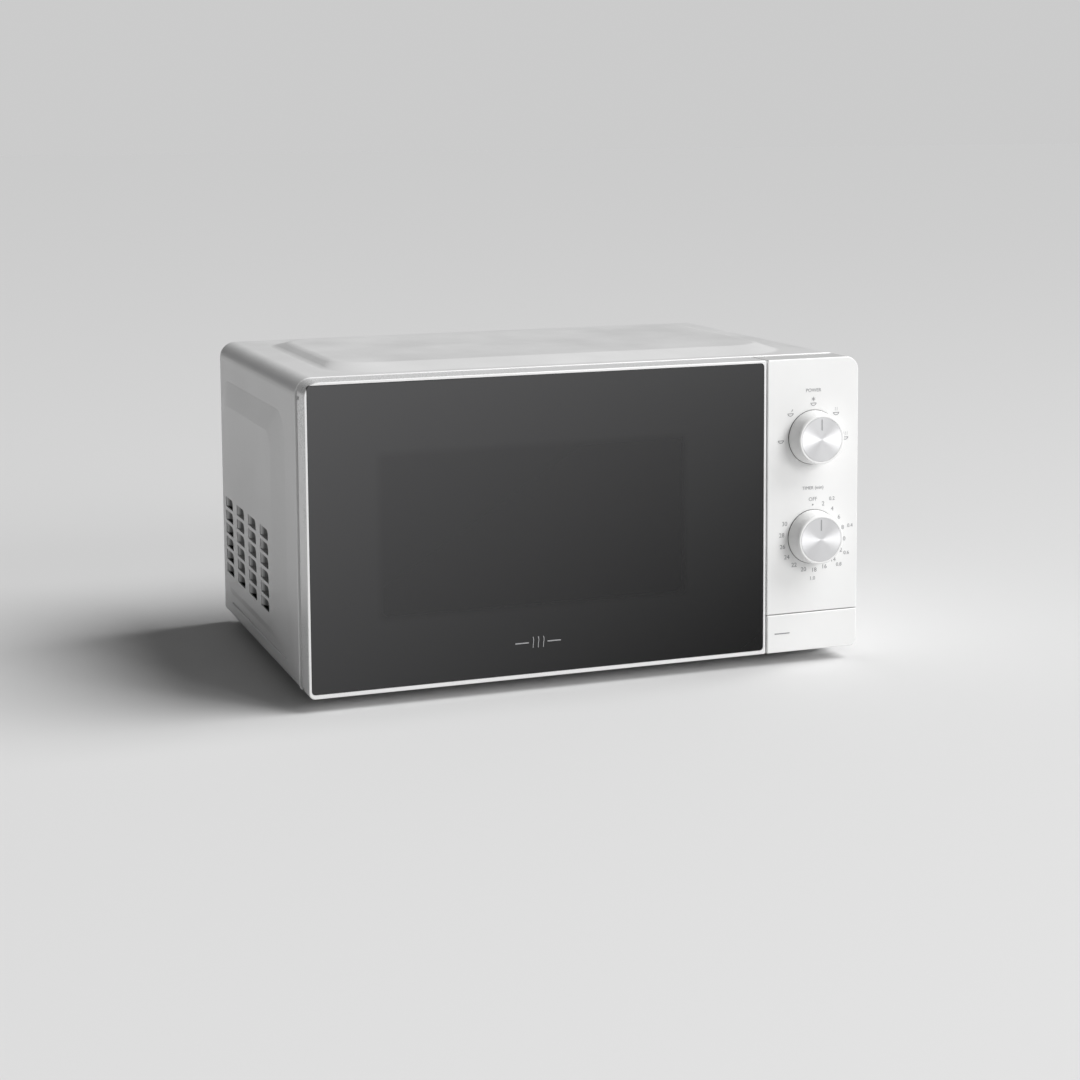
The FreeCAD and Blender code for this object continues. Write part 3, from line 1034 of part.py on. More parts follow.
def make_microwave_source():
    """Waveguide on the liner and the magnetron on the waveguide."""
    guide_y, guide_z = guide_place()
    right = f"({CAVITY_RIGHT} + dims.guide_deep)"
    outside = box("guide_block", (CAVITY_RIGHT, guide_y, guide_z),
                  (right, f"{guide_y} + dims.guide_long", f"{guide_z} + dims.guide_tall"))
    inside = box("guide_hollow", (f"{CAVITY_RIGHT} - 1", f"{guide_y} + 1", f"{guide_z} + 1"),
                 (f"{right} - 1", f"{guide_y} + dims.guide_long - 1", f"{guide_z} + dims.guide_tall - 1"))
    mid_y = f"({guide_y} + dims.guide_long - dims.antenna_set)"
    mid_z = f"({guide_z} + dims.guide_tall / 2)"
    hole = rod("guide_hole", "x", (f"{right} - 2", mid_y, mid_z), "10", "4")
    keep(cut("waveguide", outside, [inside, hole]), "waveguide")
    source_front = f"({mid_y} - dims.source_long / 2)"
    source_low = f"({mid_z} - dims.source_tall / 2)"
    far = f"({right} + dims.source_wide)"
    yoke = box("yoke_outer", (right, source_front, source_low),
               (far, f"{source_front} + dims.source_long", f"{source_low} + dims.source_tall"))
    open_way = box("yoke_inner", (f"{right} + 3", f"{source_front} - 1", f"{source_low} + 3"),
                   (f"{far} - 12", f"{source_front} + dims.source_long + 1",
                    f"{source_low} + dims.source_tall - 3"))
    pieces = [cut("yoke", yoke, [open_way])]
    pieces.append(rod("anode", "x", (right, mid_y, mid_z), "16", "dims.source_wide"))
    pieces.append(rod("antenna", "x", (f"{right} - 14", mid_y, mid_z), "7.5", "16"))
    for index in range(7):
        x = f"{right} + {8 + 7 * index}"
        pieces.append(box(f"fin_{index}", (x, f"{source_front} + 4", f"{source_low} + 2"),
                          (f"{x} + 1", f"{source_front} + dims.source_long - 4",
                           f"{source_low} + dims.source_tall - 2")))
    keep(fuse("magnetron", pieces), "magnetron")
    cutout_low = f"({source_low} + dims.source_tall)"
    disc = rod("cutout_disc", "z", (f"{right} + 30", mid_y, cutout_low), "8", "5")
    prongs = [box(f"cutout_prong_{i}", (f"{right} + {26 + 6 * i}", f"{mid_y} - 2", f"{cutout_low} + 4"),
                  (f"{right} + {27 + 6 * i}", f"{mid_y} + 2", f"{cutout_low} + 11")) for i in range(2)]
    keep(fuse("thermal_cutout", [disc] + prongs), "thermal_cutout")


def make_cooling():
    """Shaded-pole motor, bladed fan and the duct plate round the fan."""
    duct_room = "dims.fan_radius + dims.duct_margin"
    level = f"({BASE} + dims.cord_high + dims.cord_flange + {duct_room} + 1)"
    rear = f"({REAR_FACE} - dims.sheet_thick - 1)"
    front = f"({rear} - dims.fan_thick)"
    blade = new_body("fan_wheel")
    hub = new_sketch(blade, "XZ_Plane", f"-({front})", "fan_hub_outline")
    circle(hub, "0", "0", "dims.fan_hub")
    pad(blade, hub, "dims.fan_thick - 4", "fan_hub")
    vane = new_sketch(blade, "XZ_Plane", f"-({front} + 3)", "vane_outline")
    polygon(vane, [("(dims.fan_hub - 2)", "(-2)"), ("(dims.fan_hub - 2)", "2"),
                   ("(dims.fan_radius - 3)", "16"), ("(dims.fan_radius - 1)", "4")])
    vane_pad = pad(blade, vane, "3", "fan_vane")
    repeat_round(blade, vane_pad, "Y_Axis", 5, "fan_vanes")
    blade.setExpression(".Placement.Base.x", SIDE_MID)
    blade.setExpression(".Placement.Base.z", level)
    bore = rod("fan_bore", "y", (SIDE_MID, f"{front} - 1", level), "2 + dims.run_gap", "14")
    keep(cut("fan_blade", blade, [bore]), "fan_blade")
    motor_rear = f"({front} - 3)"
    half = "dims.fan_motor_wide / 2"
    stack = box("fan_stack",
                (f"{SIDE_MID} - {half}", f"{motor_rear} - dims.fan_motor_long", f"{level} - {half} + 6"),
                (f"{SIDE_MID} + {half}", motor_rear, f"{level} + {half} - 6"))
    spindle = rod("fan_spindle", "y", (SIDE_MID, f"{motor_rear} - 1", level), "2", "14")
    keep(fuse("fan_motor", [stack, spindle]), "fan_motor")
    wall_low = f"{motor_rear}"
    plate = box("duct_plate", (f"{CAVITY_RIGHT} + 3", wall_low, f"{level} - ({duct_room})"),
                (f"{COVER_INNER_RIGHT} - 4", rear, f"{level} + {duct_room}"))
    way = rod("duct_way", "y", (SIDE_MID, f"{wall_low} + dims.duct_wall", level), "dims.fan_radius + 1.5",
              "dims.fan_thick + 10")
    throat = rod("duct_throat", "y", (SIDE_MID, f"{wall_low} - 1", level), "dims.fan_hub", "6")
    reach = "(dims.fan_radius - 8)"
    ports = [rod(f"duct_port_{i}", "y", (f"{SIDE_MID} + {dx} * {reach}", f"{wall_low} - 1",
                                         f"{level} + {dz} * {reach}"), "7", "6")
             for i, (dx, dz) in enumerate(((1, 0), (-1, 0), (0, 1), (0, -1)))]
    keep(cut("air_duct", plate, [way, throat] + ports), "air_duct")


def make_power_supply():
    """Inverter board with its transformer and heat sink, and the mains filter at the rear."""
    left = f"({CAVITY_RIGHT} + 10)"
    front = f"({PLATE_REAR} + 70)"
    level = f"({FLOOR} + dims.board_high)"
    right = f"({COVER_INNER_RIGHT} - dims.board_gap)"
    board = box("inverter_block", (left, front, level),
                (right, f"{front} + dims.board_long", f"{level} + dims.board_thick"))
    posts = [rod(f"board_post_{side}_{y}", "z", (x, f"{front} + {y}", FLOOR), "3", "dims.board_high")
             for side, x in enumerate((f"{left} + 6", f"{right} - 6")) for y in (58, 144)]
    keep(fuse("inverter_board", [board] + posts), "inverter_board")
    top = f"({level} + dims.board_thick)"
    core = box("transformer_core", (f"{left} + 5", f"{front} + 40", top),
               (f"{left} + 47", f"{front} + 88", f"{top} + 34"))
    winding = rod("transformer_winding", "y", (f"{left} + 26", f"{front} + 34", f"{top} + 17"), "15", "60")
    keep(fuse("inverter_transformer", [core, winding]), "inverter_transformer")
    sink = f"({right} - 30)"
    spine = box("sink_spine", (sink, f"{front} + 20", top), (f"{sink} + 22", f"{front} + 110", f"{top} + 4"))
    fins = [box(f"sink_fin_{i}", (f"{sink} + {5 * i}", f"{front} + 20", f"{top} + 4"),
                (f"{sink} + {2 + 5 * i}", f"{front} + 110", f"{top} + 28")) for i in range(5)]
    keep(fuse("inverter_heatsink", [spine] + fins), "inverter_heatsink")
    shelf = f"({TOP} - dims.cover_wall - 26)"
    filter_rear = f"({REAR_FACE} - dims.sheet_thick)"
    case = box("filter_case", (f"{SIDE_MID} - 30", f"{filter_rear} - 30", shelf),
               (f"{SIDE_MID} + 20", filter_rear, f"{shelf} + 16"))
    coil_drum = rod("filter_coil", "y", (f"{SIDE_MID} - 15", f"{filter_rear} - 42", f"{shelf} + 8"), "7",
                    "13")
    keep(fuse("noise_filter", [case, coil_drum]), "noise_filter")


def build_all():
    """Build every sub-part in order."""
    make_cover()
    make_base_plate()
    make_rear_panel()
    make_cover_screws()
    make_cord_bushing()
    make_front_plate()
    make_feet()
    make_cavity()
    make_lamp()
    make_waveguide_cover()
    make_hinges()
    make_door_frame()
    make_door_glass()
    make_door_inside()
    make_latch()
    make_button()
    make_release_lever()
    make_interlock()
    make_control_panel()
    make_dials()
    make_turntable()
    make_microwave_source()
    make_cooling()
    make_power_supply()
    doc.recompute()


def check_all():
    """Stop on any failed object or bad sub-part shape."""
    bad = [item.Name for item in doc.Objects if {"Invalid", "Error"} & set(item.State)]
    for item in parts:
        if item.Shape.isNull() or not item.Shape.isValid() or not item.Shape.Solids:
            bad.append(item.Label)
    if bad:
        raise RuntimeError(f"failed: {bad}")


def write_all():
    """Write one STEP file for each sub-part."""
    os.makedirs("parts", exist_ok=True)
    for item in parts:
        item.Shape.exportStep(os.path.join("parts", f"{item.Label}.step"))


build_all()
check_all()
write_all()
print(f"{len(parts)} sub-parts written")
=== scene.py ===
"""Looks of a countertop microwave oven with two dials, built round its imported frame."""

import logging
import math
from dataclasses import dataclass, field
from enum import Enum

import bpy
from mathutils import Matrix, Vector


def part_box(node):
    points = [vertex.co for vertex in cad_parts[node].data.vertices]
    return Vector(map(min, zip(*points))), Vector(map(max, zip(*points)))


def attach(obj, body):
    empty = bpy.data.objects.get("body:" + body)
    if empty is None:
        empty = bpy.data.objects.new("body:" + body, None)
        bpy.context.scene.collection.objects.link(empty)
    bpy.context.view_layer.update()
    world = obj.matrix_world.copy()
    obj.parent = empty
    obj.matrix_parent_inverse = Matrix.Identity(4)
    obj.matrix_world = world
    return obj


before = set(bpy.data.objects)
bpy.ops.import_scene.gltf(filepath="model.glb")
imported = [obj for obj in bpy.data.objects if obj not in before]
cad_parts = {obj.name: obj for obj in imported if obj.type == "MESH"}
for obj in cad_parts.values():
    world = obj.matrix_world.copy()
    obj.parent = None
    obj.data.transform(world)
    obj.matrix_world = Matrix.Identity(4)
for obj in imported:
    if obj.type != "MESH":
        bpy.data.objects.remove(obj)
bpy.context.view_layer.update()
LOG = logging.getLogger("microwave_oven")
MM = 0.001
MIX_COLOUR_A = 6
MIX_COLOUR_B = 7
MIX_RESULT = 2
QUARTER_TURN = math.pi / 2


class Body(Enum):
    """Rigid bodies of the frame that new pieces ride on."""

    CASING = "casing"
    DOOR = "door"
    BUTTON = "button"
    POWER_DIAL = "power_dial"
    TIMER_DIAL = "timer_dial"


class Picture(Enum):
    """Pictures at the settings of the power dial."""

    BOWL = "bowl"
    SPOON = "bowl and spoon"
    FLAKE = "flake over a bowl"
    TWO_WAVES = "two waves over a bowl"
    THREE_WAVES = "three waves over a bowl"


# ---- node helpers ----

class Tree:
    """Node tree of one material, with short calls for adding and joining nodes."""

    def __init__(self, name: str) -> None:
        """Start a material with a Principled shader.

        Args:
            name: Name of the material.
        """
        self.material = bpy.data.materials.new(name)
        self.material.use_nodes = True
        self.nodes = self.material.node_tree.nodes
        self.links = self.material.node_tree.links
        self.shader = self.nodes["Principled BSDF"]
        self.place = self.nodes.new("ShaderNodeTexCoord").outputs["Object"]

    def add(self, kind: str, inputs: dict | None = None, **settings: object) -> bpy.types.Node:
        """Add a node.

        Args:
            kind: Blender's name of the node type, without the ShaderNode prefix.
            inputs: Socket names or numbers with a value or an output to join to them.
            settings: Properties of the node.

        Returns:
            The new node.
        """
        node = self.nodes.new(f"ShaderNode{kind}")
        for key, value in settings.items():
            setattr(node, key, value)
        for key, value in (inputs or {}).items():
            self.feed(node.inputs[key], value)
        return node

    def feed(self, socket: bpy.types.NodeSocket, value: object) -> None:
        """Set a socket to a value, or join an output to it.

        Args:
            socket: The input socket.
            value: A number, a tuple or an output socket.
        """
        if isinstance(value, bpy.types.NodeSocket):
            self.links.new(value, socket)
        else:
            socket.default_value = value

    def maths(self, operation: str, first: object, second: object = 0.0) -> bpy.types.NodeSocket:
        """Join two numbers with a maths node.

        Args:
            operation: Blender's name of the operation.
            first: First number, as a value or an output.
            second: Second number, as a value or an output.

        Returns:
            The node's output.
        """
        return self.add("Math", {0: first, 1: second}, operation=operation).outputs[0]

    def product(self, factors: list[object]) -> object:
        """Multiply several numbers.

        Args:
            factors: The numbers, as values or outputs.

        Returns:
            The output of the last node.
        """
        result = factors[0]
        for factor in factors[1:]:
            result = self.maths("MULTIPLY", result, factor)
        return result

    def vector(self, operation: str, first: object,
               second: object = (0.0, 0.0, 0.0)) -> bpy.types.Node:
        """Join two vectors with a vector maths node.

        Args:
            operation: Blender's name of the operation.
            first: First vector, as a value or an output.
            second: Second vector, as a value or an output.

        Returns:
            The node, which has a vector output and a value output.
        """
        return self.add("VectorMath", {0: first, 1: second}, operation=operation)

    def noise(self, scale: float, detail: float = 2.0, roughness: float = 0.5,
              place: object = None) -> bpy.types.NodeSocket:
        """Add a noise pattern.

        Args:
            scale: Number of waves in a metre.
            detail: Number of finer layers.
            roughness: Strength of the finer layers.
            place: Coordinates, or None for the object's own.

        Returns:
            Output that runs from 0 to 1.
        """
        node = self.add("TexNoise", {"Vector": place or self.place, "Scale": scale, "Detail": detail,
                                     "Roughness": roughness})
        return node.outputs["Fac"]

    def remap(self, value: object, low: float, high: float, start: float = 0.3,
              end: float = 0.7) -> bpy.types.NodeSocket:
        """Stretch the part of a value between start and end to run from low to high.

        Args:
            value: The value.
            low: Result at the start.
            high: Result at the end.
            start: Value that gives low.
            end: Value that gives high.

        Returns:
            The output.
        """
        node = self.add("MapRange", {"Value": value, "From Min": start, "From Max": end, "To Min": low,
                                     "To Max": high})
        return node.outputs[0]

    def blend(self, fac: object, first: object, second: object) -> bpy.types.NodeSocket:
        """Mix two colours.

        Args:
            fac: Share of the second colour.
            first: First colour.
            second: Second colour.

        Returns:
            The mixed colour.
        """
        node = self.add("Mix", data_type="RGBA")
        self.feed(node.inputs["Factor"], fac)
        self.feed(node.inputs[MIX_COLOUR_A], first)
        self.feed(node.inputs[MIX_COLOUR_B], second)
        return node.outputs[MIX_RESULT]

    def stretched(self, scale: tuple[float, float, float], detail: float,
                  roughness: float) -> bpy.types.NodeSocket:
        """Add a noise pattern with its own scale along each axis.

        Args:
            scale: Number of waves in a metre along X, Y and Z.
            detail: Number of finer layers.
            roughness: Strength of the finer layers.

        Returns:
            Output that runs from 0 to 1.
        """
        place = self.add("Mapping", {"Vector": self.place, "Scale": scale}).outputs[0]
        return self.noise(1.0, detail, roughness, place)

    def ripple(self, value: object, pitch: float, distance: float, strength: float) -> None:
        """Raise even waves along a value.

        Args:
            value: Distance along which the waves follow each other.
            pitch: Distance from one wave to the next, in metres.
            distance: Height of the waves, in metres.
            strength: How much of it shows.
        """
        wave = self.maths("SINE", self.maths("MULTIPLY", value, 2 * math.pi / pitch))
        self.bump(self.remap(wave, 0.0, 1.0, -1.0, 1.0), distance, strength)

    def bump(self, height: object, distance: float, strength: float = 1.0) -> None:
        """Raise the surface by a height pattern, on top of any earlier bump.

        Args:
            height: Height pattern from 0 to 1.
            distance: Height of the full pattern, in metres.
            strength: How much of it shows.
        """
        node = self.add("Bump", {"Height": height, "Distance": distance, "Strength": strength})
        normal = self.shader.inputs["Normal"]
        if normal.is_linked:
            self.links.new(normal.links[0].from_socket, node.inputs["Normal"])
        self.links.new(node.outputs[0], normal)


def shade(colour: tuple[float, float, float], factor: float) -> tuple[float, float, float, float]:
    """Make a colour darker or lighter.

    Args:
        colour: Red, green and blue.
        factor: What each is multiplied by.

    Returns:
        The colour with full alpha.
    """
    return (colour[0] * factor, colour[1] * factor, colour[2] * factor, 1.0)


# ---- finishes ----

@dataclass(frozen=True)
class Finish:
    """A finish with a fine grain, slow colour change and uneven gloss."""

    name: str
    colour: tuple[float, float, float]
    roughness: float = 0.45
    metallic: float = 0.0
    coat: float = 0.0
    grain: float = 900.0
    grain_height: float = 0.00003
    cloud: float = 18.0
    variation: float = 0.03
    gloss_spread: float = 0.06
    gloss_range: tuple[float, float] = (0.7, 1.3)
    cloud_detail: float = 4.0
    grain_detail: float = 3.0
    grain_strength: float = 0.6
    coat_roughness: float = 0.08

    def make(self) -> bpy.types.Material:
        """Build the material.

        Returns:
            A new material.
        """
        tree = Tree(self.name)
        clouds = tree.noise(self.cloud, self.cloud_detail)
        dark = shade(self.colour, 1 - self.variation)
        light = shade(self.colour, 1 + self.variation / 2)
        tree.feed(tree.shader.inputs["Base Color"], tree.blend(tree.remap(clouds, 0.0, 1.0), dark, light))
        fine = tree.noise(self.grain, self.grain_detail)
        rough = tree.remap(tree.maths("ADD", clouds, fine), self.roughness - self.gloss_spread,
                           self.roughness + self.gloss_spread, *self.gloss_range)
        tree.feed(tree.shader.inputs["Roughness"], rough)
        tree.shader.inputs["Metallic"].default_value = self.metallic
        tree.shader.inputs["Coat Weight"].default_value = self.coat
        tree.shader.inputs["Coat Roughness"].default_value = self.coat_roughness
        tree.bump(fine, self.grain_height, self.grain_strength)
        self.detail(tree)
        return tree.material

    def detail(self, tree: Tree) -> None:
        """Add what this kind of finish has beyond the common grain.

        Args:
            tree: The material's node tree.
        """


@dataclass(frozen=True)
class PowderPaint(Finish):
    """Baked paint on sheet metal, with its shallow dimpled skin."""

    peel: float = 260.0
    peel_height: float = 0.00005
    peel_strength: float = 0.35

    def detail(self, tree: Tree) -> None:
        """Add the dimpled skin."""
        tree.bump(tree.noise(self.peel, 1.0), self.peel_height, self.peel_strength)


@dataclass(frozen=True)
class CoverPaint(PowderPaint):
    """Powder paint with painted shade on the bent-in louvre tongues, darkening them as if in shadow."""

    outside: float = 0.0
    primer_depth: tuple[float, float] = (0.9 * MM, 2.6 * MM)
    louvres_from: tuple[float, float] = (-29.5 * MM, 48 * MM)
    louvres_to: tuple[float, float] = (137.5 * MM, 118 * MM)
    primer: float = 0.03

    def detail(self, tree: Tree) -> None:
        """Darken what lies deeper than the side walls, where the louvres are, as painted shade for the
        louvre tongues' shadow.
        """
        PowderPaint.detail(self, tree)
        split = tree.add("SeparateXYZ", {"Vector": tree.place})
        depth = tree.maths("SUBTRACT", self.outside, tree.maths("ABSOLUTE", split.outputs[0]))
        factors = [tree.remap(depth, 0.0, 1.0, *self.primer_depth)]
        for axis, start, end in zip((1, 2), self.louvres_from, self.louvres_to):
            factors.append(tree.maths("GREATER_THAN", split.outputs[axis], start))
            factors.append(tree.maths("LESS_THAN", split.outputs[axis], end))
        base = tree.shader.inputs["Base Color"]
        painted = base.links[0].from_socket
        # painted shade: the deep louvre tongues are blended towards a near-black shade of the paint colour,
        # standing for their shadow
        tree.feed(base, tree.blend(tree.product(factors), painted, shade(self.colour, self.primer)))


@dataclass(frozen=True)
class Moulding(Finish):
    """Glossy injection-moulded plastic with slight flow marks and hairline scratches."""

    flow: float = 40.0
    flow_height: float = 0.00004
    flow_strength: float = 0.12
    scratch: tuple[float, float, float] = (30.0, 30.0, 900.0)
    scratch_range: tuple[float, float] = (0.62, 0.7)
    scratch_height: float = 0.000004
    scratch_strength: float = 0.25

    def detail(self, tree: Tree) -> None:
        """Add flow marks and sparse hairline scratches."""
        lines = tree.stretched(self.scratch, 2.0, 0.6)
        tree.bump(tree.remap(lines, 0.0, 1.0, *self.scratch_range), self.scratch_height,
                  self.scratch_strength)
        tree.bump(tree.noise(self.flow, 1.0), self.flow_height, self.flow_strength)


@dataclass(frozen=True)
class ZincSheet(Finish):
    """Zinc-plated sheet with its spangle of flat crystals."""

    spangle: float = 110.0
    darkest: float = 0.82
    lightest: float = 1.08
    crystal_gloss: float = 0.1

    def detail(self, tree: Tree) -> None:
        """Add crystals of slightly different grey."""
        cells = tree.add("TexVoronoi", {"Vector": tree.place, "Scale": self.spangle})
        tone = tree.add("SeparateColor", {"Color": cells.outputs["Color"]}).outputs[0]
        fac = tree.remap(tone, 0.0, 1.0, 0.0, 1.0)
        colour = tree.blend(fac, shade(self.colour, self.darkest), shade(self.colour, self.lightest))
        tree.feed(tree.shader.inputs["Base Color"], colour)
        rough = tree.remap(tone, self.roughness - self.crystal_gloss, self.roughness + self.crystal_gloss,
                           0.0, 1.0)
        tree.feed(tree.shader.inputs["Roughness"], rough)


@dataclass(frozen=True)
class BrushedMetal(Finish):
    """Metal with fine straight brushing along X."""

    brushing: tuple[float, float, float] = (40.0, 2500.0, 2500.0)
    brushing_height: float = 0.00002
    brushing_strength: float = 0.5
    smoother: float = 0.08
    rougher: float = 0.1

    def detail(self, tree: Tree) -> None:
        """Add the brushing lines."""
        lines = tree.stretched(self.brushing, 3.0, 0.6)
        tree.bump(lines, self.brushing_height, self.brushing_strength)
        rough = tree.remap(lines, self.roughness - self.smoother, self.roughness + self.rougher)
        tree.feed(tree.shader.inputs["Roughness"], rough)


@dataclass(frozen=True)
class SpunMetal(Finish):
    """Metal disc turned on a lathe: fine rings about an axis along Y, and their fan-shaped glints."""

    centre: tuple[float, float, float] = (0.0, 0.0, 0.0)
    ring_pitch: float = 0.00035
    ring_height: float = 0.000006
    ring_strength: float = 0.3
    anisotropy: float = 0.75

    def detail(self, tree: Tree) -> None:
        """Add the rings and turn the stretched highlight round the axis."""
        offset = tree.vector("SUBTRACT", tree.place, self.centre).outputs[0]
        flat = tree.vector("MULTIPLY", offset, (1.0, 0.0, 1.0)).outputs[0]
        radius = tree.vector("LENGTH", flat).outputs["Value"]
        tree.ripple(radius, self.ring_pitch, self.ring_height, self.ring_strength)
        around = tree.vector("CROSS_PRODUCT", flat, (0.0, 1.0, 0.0)).outputs[0]
        turned = tree.add("VectorTransform", {"Vector": tree.vector("NORMALIZE", around).outputs[0]},
                          vector_type="VECTOR", convert_from="OBJECT", convert_to="WORLD").outputs[0]
        tree.feed(tree.shader.inputs["Tangent"], turned)
        tree.shader.inputs["Anisotropic"].default_value = self.anisotropy


@dataclass(frozen=True)
class PrintedGlass(Finish):
    """Dark tinted glass with a painted reflection, lighter at the upper left and darker at the lower right,
    and clearer over the window so the screen shows faintly.
    """

    window_low: tuple[float, float, float] = (0.0, 0.0, 0.0)
    window_high: tuple[float, float, float] = (0.0, 0.0, 0.0)
    glass_low: tuple[float, float, float] = (0.0, 0.0, 0.0)
    glass_high: tuple[float, float, float] = (0.0, 0.0, 0.0)
    dark: float = 0.003
    light: float = 0.085
    clear: float = 0.88
    dark_blue: float = 1.04
    light_blue: float = 1.02
    window_edge: float = 6 * MM
    reflection: float = 0.2

    def detail(self, tree: Tree) -> None:
        """Paint a reflection gradient from light at the upper left to dark at the lower right, and clear
        the glass over the window.
        """
        split = tree.add("SeparateXYZ", {"Vector": tree.place})
        # painted reflection: the glass colour runs from light at the upper left to dark at the lower right
        across = tree.remap(split.outputs[0], 1.0, 0.0, self.glass_low[0], self.glass_high[0])
        up = tree.remap(split.outputs[2], 0.0, 1.0, self.glass_low[2], self.glass_high[2])
        fac = tree.maths("MULTIPLY", tree.maths("ADD", across, up), 0.5)
        colour = tree.blend(fac, (self.dark, self.dark, self.dark * self.dark_blue, 1.0),
                            (self.light, self.light, self.light * self.light_blue, 1.0))
        tree.feed(tree.shader.inputs["Base Color"], colour)
        edge = self.window_edge
        factors = []
        for axis in (0, 2):
            low, high = self.window_low[axis], self.window_high[axis]
            factors.append(tree.remap(split.outputs[axis], 0.0, 1.0, low, low + edge))
            factors.append(tree.remap(split.outputs[axis], 1.0, 0.0, high - edge, high))
        alpha = tree.remap(tree.product(factors), 1.0, self.clear, 0.0, 1.0)
        tree.feed(tree.shader.inputs["Alpha"], alpha)
        tree.shader.inputs["Roughness"].default_value = self.roughness
        tree.shader.inputs["Specular IOR Level"].default_value = self.reflection


@dataclass(frozen=True)
class ClearGlass(Finish):
    """Clear toughened glass or film with slight waviness."""

    transmission: float = 0.92
    refraction: float = 1.5
    waviness: float = 60.0
    waviness_height: float = 0.0001
    waviness_strength: float = 0.15

    def detail(self, tree: Tree) -> None:
        """Let light through and ripple the surface slightly."""
        tree.shader.inputs["Transmission Weight"].default_value = self.transmission
        tree.shader.inputs["IOR"].default_value = self.refraction
        tree.bump(tree.noise(self.waviness, 1.0), self.waviness_height, self.waviness_strength)


@dataclass(frozen=True)
class PerforatedSheet(Finish):
    """Dark painted sheet with rows of small round holes over the window."""

    pitch: float = 0.0021
    hole: float = 0.00062
    window_low: tuple[float, float, float] = (0.0, 0.0, 0.0)
    window_high: tuple[float, float, float] = (0.0, 0.0, 0.0)

    def detail(self, tree: Tree) -> None:
        """Cut the holes out of the sheet by its alpha, inside the window only."""
        split = tree.add("SeparateXYZ", {"Vector": tree.place})
        squares = []
        factors = []
        for axis in (0, 2):
            coordinate = split.outputs[axis]
            phase = tree.maths("PINGPONG", coordinate, self.pitch / 2)
            offset = tree.maths("SUBTRACT", phase, self.pitch / 4)
            squares.append(tree.product([offset, offset]))
            factors.append(tree.maths("GREATER_THAN", coordinate, self.window_low[axis]))
            factors.append(tree.maths("LESS_THAN", coordinate, self.window_high[axis]))
        reach = tree.maths("SQRT", tree.maths("ADD", *squares))
        factors.append(tree.maths("LESS_THAN", reach, self.hole / 2))
        cut = tree.product(factors)
        tree.feed(tree.shader.inputs["Alpha"], tree.maths("SUBTRACT", 1.0, cut))


@dataclass(frozen=True)
class WoundCopper(Finish):
    """Enamelled copper wire laid side by side round an axis along Y."""

    pitch: float = 0.0009
    wire_height: float = 0.0003
    wire_strength: float = 0.8

    def detail(self, tree: Tree) -> None:
        """Add the turns of wire."""
        split = tree.add("SeparateXYZ", {"Vector": tree.place})
        tree.ripple(split.outputs[1], self.pitch, self.wire_height, self.wire_strength)


@dataclass(frozen=True)
class CircuitBoard(Finish):
    """Green solder mask with copper-toned pads."""

    pads: float = 220.0
    pad_range: tuple[float, float] = (0.18, 0.24)
    pad_colour: tuple[float, float, float] = (0.32, 0.30, 0.12)

    def detail(self, tree: Tree) -> None:
        """Add the solder pads."""
        cells = tree.add("TexVoronoi", {"Vector": tree.place, "Scale": self.pads}, distance="MANHATTAN")
        pad = tree.remap(cells.outputs["Distance"], 1.0, 0.0, *self.pad_range)
        colour = tree.blend(pad, shade(self.colour, 1.0), shade(self.pad_colour, 1.0))
        tree.feed(tree.shader.inputs["Base Color"], colour)


# ---- modelling helpers ----

def deselect() -> None:
    """Leave every object unselected."""
    bpy.ops.object.select_all(action="DESELECT")


def take(name: str) -> bpy.types.Object:
    """Name the object just added or converted, and return it."""
    piece = bpy.context.object
    piece.name = name
    return piece


def edit_all() -> None:
    """Enter edit mode with everything selected."""
    bpy.ops.object.mode_set(mode="EDIT")
    bpy.ops.mesh.select_all(action="SELECT")


def settle(piece: bpy.types.Object) -> bpy.types.Object:
    """Put an object's place, turn and size into its mesh.

    Args:
        piece: The object to settle.

    Returns:
        The same object.
    """
    deselect()
    piece.select_set(True)
    bpy.context.view_layer.objects.active = piece
    bpy.ops.object.transform_apply(location=True, rotation=True, scale=True)
    return piece


def join(name: str, pieces: list[bpy.types.Object]) -> bpy.types.Object:
    """Join several meshes into one piece.

    Args:
        name: Name of the joined piece.
        pieces: Mesh objects, settled.

    Returns:
        The joined object.
    """
    deselect()
    for piece in pieces:
        piece.select_set(True)
    bpy.context.view_layer.objects.active = pieces[0]
    if len(pieces) > 1:
        bpy.ops.object.join()
    return take(name)


def fit_out(piece: bpy.types.Object, body: Body, material: bpy.types.Material) -> None:
    """Give a finished piece its body and its material.

    Args:
        piece: The finished piece.
        body: Body that it moves with.
        material: Material that it wears.
    """
    piece.data.materials.clear()
    piece.data.materials.append(material)
    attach(piece, body.value)
    LOG.info("made %s: %d faces on %s", piece.name, len(piece.data.polygons), body.value)


def dress(nodes: list[str], material: bpy.types.Material) -> None:
    """Put a material on carried-over nodes.

    Args:
        nodes: Names of the nodes.
        material: Material that they wear.
    """
    for node in nodes:
        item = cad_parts[node]
        item.data.materials.clear()
        item.data.materials.append(material)
        LOG.info("dressed %s with %s", node, material.name)


